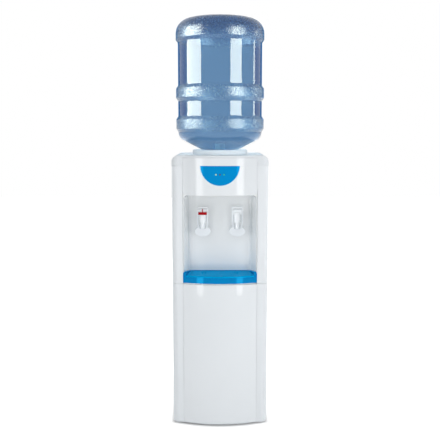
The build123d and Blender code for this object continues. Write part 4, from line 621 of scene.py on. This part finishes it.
joined = addNode(tree, "GeometryNodeJoinGeometry", {"Geometry": upright.outputs["Instances"]})
tree.links.new(welds.outputs["Instances"], joined.inputs["Geometry"])
closeTree(tree, given, joined.outputs["Geometry"])
lattice = grow("condenser_lattice", tree, {
    "count": wires["count"], "span": wires["span"] / 1000, "tall": (wires["high"] - wires["low"]) / 1000,
    "low": (-wires["span"] / 2000, wires["y"] / 1000, wires["low"] / 1000),
    "radius": wires["radius"] / 1000, "sides": wires["sides"], "runs": wires["runs"],
    "weldSpan": (wires["weldHigh"] - wires["weldLow"]) / 1000,
    "weldMiddle": (0, wires["weldY"] / 1000, (wires["weldHigh"] + wires["weldLow"]) / 2000),
    "weld": tuple(size / 1000 for size in wires["weld"]),
}, blackEnamel)
lattice.data.shade_smooth()
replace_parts(carry(lattice, "condenser_wires"), "condenser_wires")
print("condenser wires made")

# rolled lips round the slots pressed in the rear panel
vents = {
    "face": 128.0, "height": 5.0, "pitch": 12.0, "lip": 0.8, "endShare": 0.49, "endSteps": 8, "lipSides": 10,
    "groups": {  # middle, lowest slot, width and number of slots
        "compressor_vent_lips": (20.0, 27.0, 140.0, 5), "upper_vent_lips": (-40.0, 640.0, 120.0, 7)},
}
tree, given = newTree("rolledLips", {
    "low": place3, "rows": number, "pitch": length, "width": length, "height": length, "lip": length})
slot = addNode(tree, "GeometryNodeCurvePrimitiveQuadrilateral", {
    "Width": given["width"], "Height": given["height"]})
endRound = addNode(tree, "ShaderNodeMath", {0: given["height"], 1: vents["endShare"]}, operation="MULTIPLY")
rounded = addNode(tree, "GeometryNodeFilletCurve", {
    "Curve": slot.outputs["Curve"], "Radius": endRound.outputs["Value"],
    "Count": vents["endSteps"], "Limit Radius": True}, mode="POLY")
section = addNode(tree, "GeometryNodeCurvePrimitiveCircle", {
    "Resolution": vents["lipSides"], "Radius": given["lip"]})
lip = addNode(tree, "GeometryNodeCurveToMesh", {
    "Curve": rounded.outputs["Curve"], "Profile Curve": section.outputs["Curve"]})
turned = addNode(tree, "GeometryNodeTransform", {
    "Geometry": lip.outputs["Mesh"], "Rotation": (math.pi / 2, 0, 0)})
stepZ = addNode(tree, "ShaderNodeCombineXYZ", {"Z": given["pitch"]})
stack = addNode(tree, "GeometryNodeMeshLine", {
    "Count": given["rows"], "Start Location": given["low"], "Offset": stepZ.outputs["Vector"]})
lips = addNode(tree, "GeometryNodeInstanceOnPoints", {
    "Points": stack.outputs["Mesh"], "Instance": turned.outputs["Geometry"]})
closeTree(tree, given, lips.outputs["Instances"])
for name, (x, low, width, rows) in vents["groups"].items():
    lipRow = grow(name, tree, {
        "low": (x / 1000, vents["face"] / 1000, low / 1000), "rows": rows, "pitch": vents["pitch"] / 1000,
        "width": width / 1000, "height": vents["height"] / 1000, "lip": vents["lip"] / 1000}, greySheet)
    lipRow.data.shade_smooth()
    carry(lipRow, "rear_panel")
print("vent lips made")

# satin top faces on the gloss-fronted tray, in the lighter blue that paints the light falling on its tops
trayTop = {"upward": 0.25}
tray = bpy.data.objects["drip_tray_skin"]
tray.data.materials.append(litBlueSatin)
for face in tray.data.polygons:
    if face.normal.z > trayTop["upward"]:
        face.material_index = 1
print("tray top textured")

# plated pins in the power inlet: faces well inside the socket's walls
pins = {"x": -105.0, "z": 51.0, "halfX": 9.0, "halfZ": 7.6, "inner": 115.0, "halfPin": 2.0}
inlet = bpy.data.objects["power_inlet_skin"]
inlet.data.materials.append(tinnedBrass)
for face in inlet.data.polygons:
    x, y, z = (1000 * value for value in face.center)
    if (abs(x - pins["x"]) < pins["halfX"] and abs(z - pins["z"]) < pins["halfZ"] and y > pins["inner"]
            and max(abs(1000 * inlet.data.vertices[v].co.x - x) for v in face.vertices) < pins["halfPin"]):
        face.material_index = 1
print("inlet pins plated")

# floor, lamps and camera, in metres
stage = {
    "floorSize": 14.0, "floorColor": "#f4f4f4",
    "foot": (0.145, 0.152), "bow": 0.3236,  # half footprint, and the radius of its bowed front
    "under": 0.02, "beside": 0.62, "edge": (-0.004, 0.012),  # floor's glow at the base, and how soon it rises
    "away": 0.4, "open": (0.01, 0.2),  # the rest of the glow, added further off
    "fill": 0.2, "bottleLight": "#fbffee",
    "eye": (0.0, -2.163, 0.906), "pitch": 7.5, "lens": 56.1, "sensor": 36.0,
}
half = stage["floorSize"] / 2


# 1 for the rays that see the white surround: camera, mirror and through the bottle
def surroundSeen(tree):
    path = addNode(tree, "ShaderNodeLightPath").outputs
    seen = addNode(tree, "ShaderNodeMath", {
        0: path["Is Camera Ray"], 1: path["Is Glossy Ray"]}, operation="MAXIMUM")
    return addNode(tree, "ShaderNodeMath", {
        0: seen.outputs["Value"], 1: path["Is Transmission Ray"]}, operation="MAXIMUM").outputs["Value"]


floorMaterial, tree = newMaterial("studioFloor")
place = addNode(tree, "ShaderNodeTexCoord").outputs["Object"]
# distance outside the footprint: dark right under the base, white a little way off
spread = addNode(tree, "ShaderNodeSeparateXYZ", {"Vector": place}).outputs
sideways = addNode(tree, "ShaderNodeMath", {0: spread["X"]}, operation="ABSOLUTE").outputs["Value"]
square = addNode(tree, "ShaderNodeMath", {
    0: spread["X"], 1: spread["X"]}, operation="MULTIPLY").outputs["Value"]
bowed = addNode(tree, "ShaderNodeMath", {  # the bow's setback: square over twice the radius
    0: square, 1: 0.5 / stage["bow"]}, operation="MULTIPLY").outputs["Value"]
ahead = addNode(tree, "ShaderNodeMath", {0: bowed, 1: spread["Y"]}, operation="SUBTRACT").outputs["Value"]
halfWide, halfDeep = stage["foot"]
beyond = [
    addNode(tree, "ShaderNodeMath", {0: reach, 1: limit}, operation="SUBTRACT").outputs["Value"]
    for reach, limit in ((sideways, halfWide), (ahead, halfDeep), (spread["Y"], halfDeep))]
apart = beyond[0]
for further in beyond[1:]:
    apart = addNode(tree, "ShaderNodeMath", {0: apart, 1: further}, operation="MAXIMUM").outputs["Value"]
close = addNode(tree, "ShaderNodeMapRange", {
    "Value": apart, "From Min": stage["edge"][0], "From Max": stage["edge"][1],
    "To Min": stage["under"], "To Max": stage["beside"]})
wide = addNode(tree, "ShaderNodeMapRange", {
    "Value": apart, "From Min": stage["open"][0], "From Max": stage["open"][1], "To Max": stage["away"]})
ramp = addNode(tree, "ShaderNodeMath", {
    0: close.outputs["Result"], 1: wide.outputs["Result"]}, operation="ADD")
lift = addNode(tree, "ShaderNodeMath", {
    0: surroundSeen(tree), 1: ramp.outputs["Value"]}, operation="MULTIPLY")
matt = addNode(tree, "ShaderNodeBsdfDiffuse", {"Color": hexToLinear(stage["floorColor"])})
glow = addNode(tree, "ShaderNodeEmission", {"Strength": lift.outputs["Value"]})
both = addNode(tree, "ShaderNodeAddShader", {0: matt.outputs["BSDF"], 1: glow.outputs["Emission"]})
addNode(tree, "ShaderNodeOutputMaterial", {"Surface": both.outputs["Shader"]})
floor = meshPiece("floor", [
    (-half, -half, 0), (half, -half, 0), (half, half, 0), (-half, half, 0)], [(0, 1, 2, 3)], floorMaterial)

# blue cards behind on both sides, seen only in the bottle's edges
cards = {"near": 0.25, "far": 1.6, "y": 2.0, "low": 0.97, "high": 1.9, "color": "#4a8cc6"}
cardMaterial, tree = newMaterial("blueCard")
card = addNode(tree, "ShaderNodeEmission", {"Color": hexToLinear(cards["color"])})
addNode(tree, "ShaderNodeOutputMaterial", {"Surface": card.outputs["Emission"]})
for name, side in (("cardLeft", -1), ("cardRight", 1)):
    near, far = side * cards["near"], side * cards["far"]
    piece = meshPiece(name, [
        (near, cards["y"], cards["low"]), (far, cards["y"], cards["low"]),
        (far, cards["y"], cards["high"]), (near, cards["y"], cards["high"])], [(0, 1, 2, 3)], cardMaterial)
    piece.visible_camera = False
    piece.visible_diffuse = False
    piece.visible_shadow = False

world = bpy.data.worlds.new("studio")
scene.world = world
world.use_nodes = True
tree = world.node_tree
tree.nodes.clear()
level = addNode(tree, "ShaderNodeMapRange", {
    "Value": surroundSeen(tree), "To Min": stage["fill"], "To Max": 1.0})
sky = addNode(tree, "ShaderNodeBackground", {"Color": (1, 1, 1, 1), "Strength": level.outputs["Result"]})
addNode(tree, "ShaderNodeOutputWorld", {"Surface": sky.outputs["Background"]})

# lamps: azimuth from the front, distance, height of the middle, width, tall, downward tilt, radiance
bottleLamps = {
    "bottleLeft": (-74.5, 2.4, 1.7, 2.1, 1.6, 0.0, 18.5),
    "bottleRight": (43.0, 2.4, 1.5, 1.35, 1.2, 0.0, 17.5),
    "bottleEdge": (104.0, 2.4, 1.35, 0.3, 0.9, 0.0, 8.0),
}
cabinetLamps = {
    "frontBox": (0.0, 2.8, 1.0, 3.0, 2.2, 0.0, 1.0),
    "overBox": (0.0, 1.7, 2.1, 2.0, 1.0, 42.0, 1.1),
    "rightBox": (72.0, 2.2, 0.9, 1.4, 1.6, 0.0, 2.2),
    "leftBox": (-55.0, 2.2, 0.9, 1.2, 1.6, 0.0, 0.9),
    "leftStrip": (-22.8, 1.15, 0.51, 0.15, 0.68, 0.0, 3.0),
    "rightStrip": (22.8, 1.15, 0.51, 0.15, 0.68, 0.0, 3.0),
    "rearBox": (180.0, 2.6, 1.0, 2.4, 1.8, 0.0, 2.2),
    "rearRight": (125.0, 2.4, 1.0, 1.2, 1.6, 0.0, 1.6),
    "rearLeft": (-125.0, 2.4, 1.0, 1.2, 1.6, 0.0, 1.6),
}
nicheLamps = {
    "nicheLeft": (-62.0, 1.5, 0.62, 0.9, 0.9, 0.0, 1.6),
    "nicheRight": (62.0, 1.5, 0.62, 0.9, 0.9, 0.0, 1.0),
}
collarLamps = {"collarBox": (0.0, 1.7, 1.3, 1.4, 0.8, 10.0, 2.0)}
# each set of lamps is flagged so that it lights its own pieces only
bottleLit = ["bottle_shell", "bottle_cap_skin"]
cabinetLit = [piece.name for piece in scene.objects if piece.type == "MESH" and piece.name not in bottleLit]
nicheLit = ["niche_skin", "hot_tap_body_skin", "cold_tap_body_skin", "hot_tap_lever_skin",
            "cold_tap_lever_skin", "hot_safety_lock_skin"]
for lampSet, lit in ((bottleLamps, bottleLit), (cabinetLamps, cabinetLit), (nicheLamps, nicheLit),
                     (collarLamps, ["bottle_collar_skin"])):
    group = bpy.data.collections.new("lit")
    for name in lit:
        group.objects.link(bpy.data.objects[name])
    for name, (azimuth, distance, height, width, tall, tilt, radiance) in lampSet.items():
        lamp = bpy.data.lights.new(name, "AREA")
        lamp.shape = "RECTANGLE"
        lamp.size, lamp.size_y = width, tall
        lamp.energy = radiance * math.pi * width * tall
        holder = bpy.data.objects.new(name, lamp)
        angle = math.radians(azimuth)
        holder.location = (distance * math.sin(angle), -distance * math.cos(angle), height)
        holder.rotation_euler = (math.radians(90 - tilt), 0, angle)
        holder.visible_camera = False
        if lampSet is bottleLamps:
            lamp.color = hexToLinear(stage["bottleLight"])[:3]
            holder.visible_transmission = False
        holder.light_linking.receiver_collection = group
        scene.collection.objects.link(holder)

camera = bpy.data.cameras.new("camera")
camera.lens = stage["lens"]
camera.sensor_width = stage["sensor"]
view = bpy.data.objects.new("camera", camera)
view.location = stage["eye"]
view.rotation_euler = (math.radians(90 - stage["pitch"]), 0, 0)
scene.collection.objects.link(view)
scene.camera = view
scene.view_settings.view_transform = "Standard"
print("stage set")
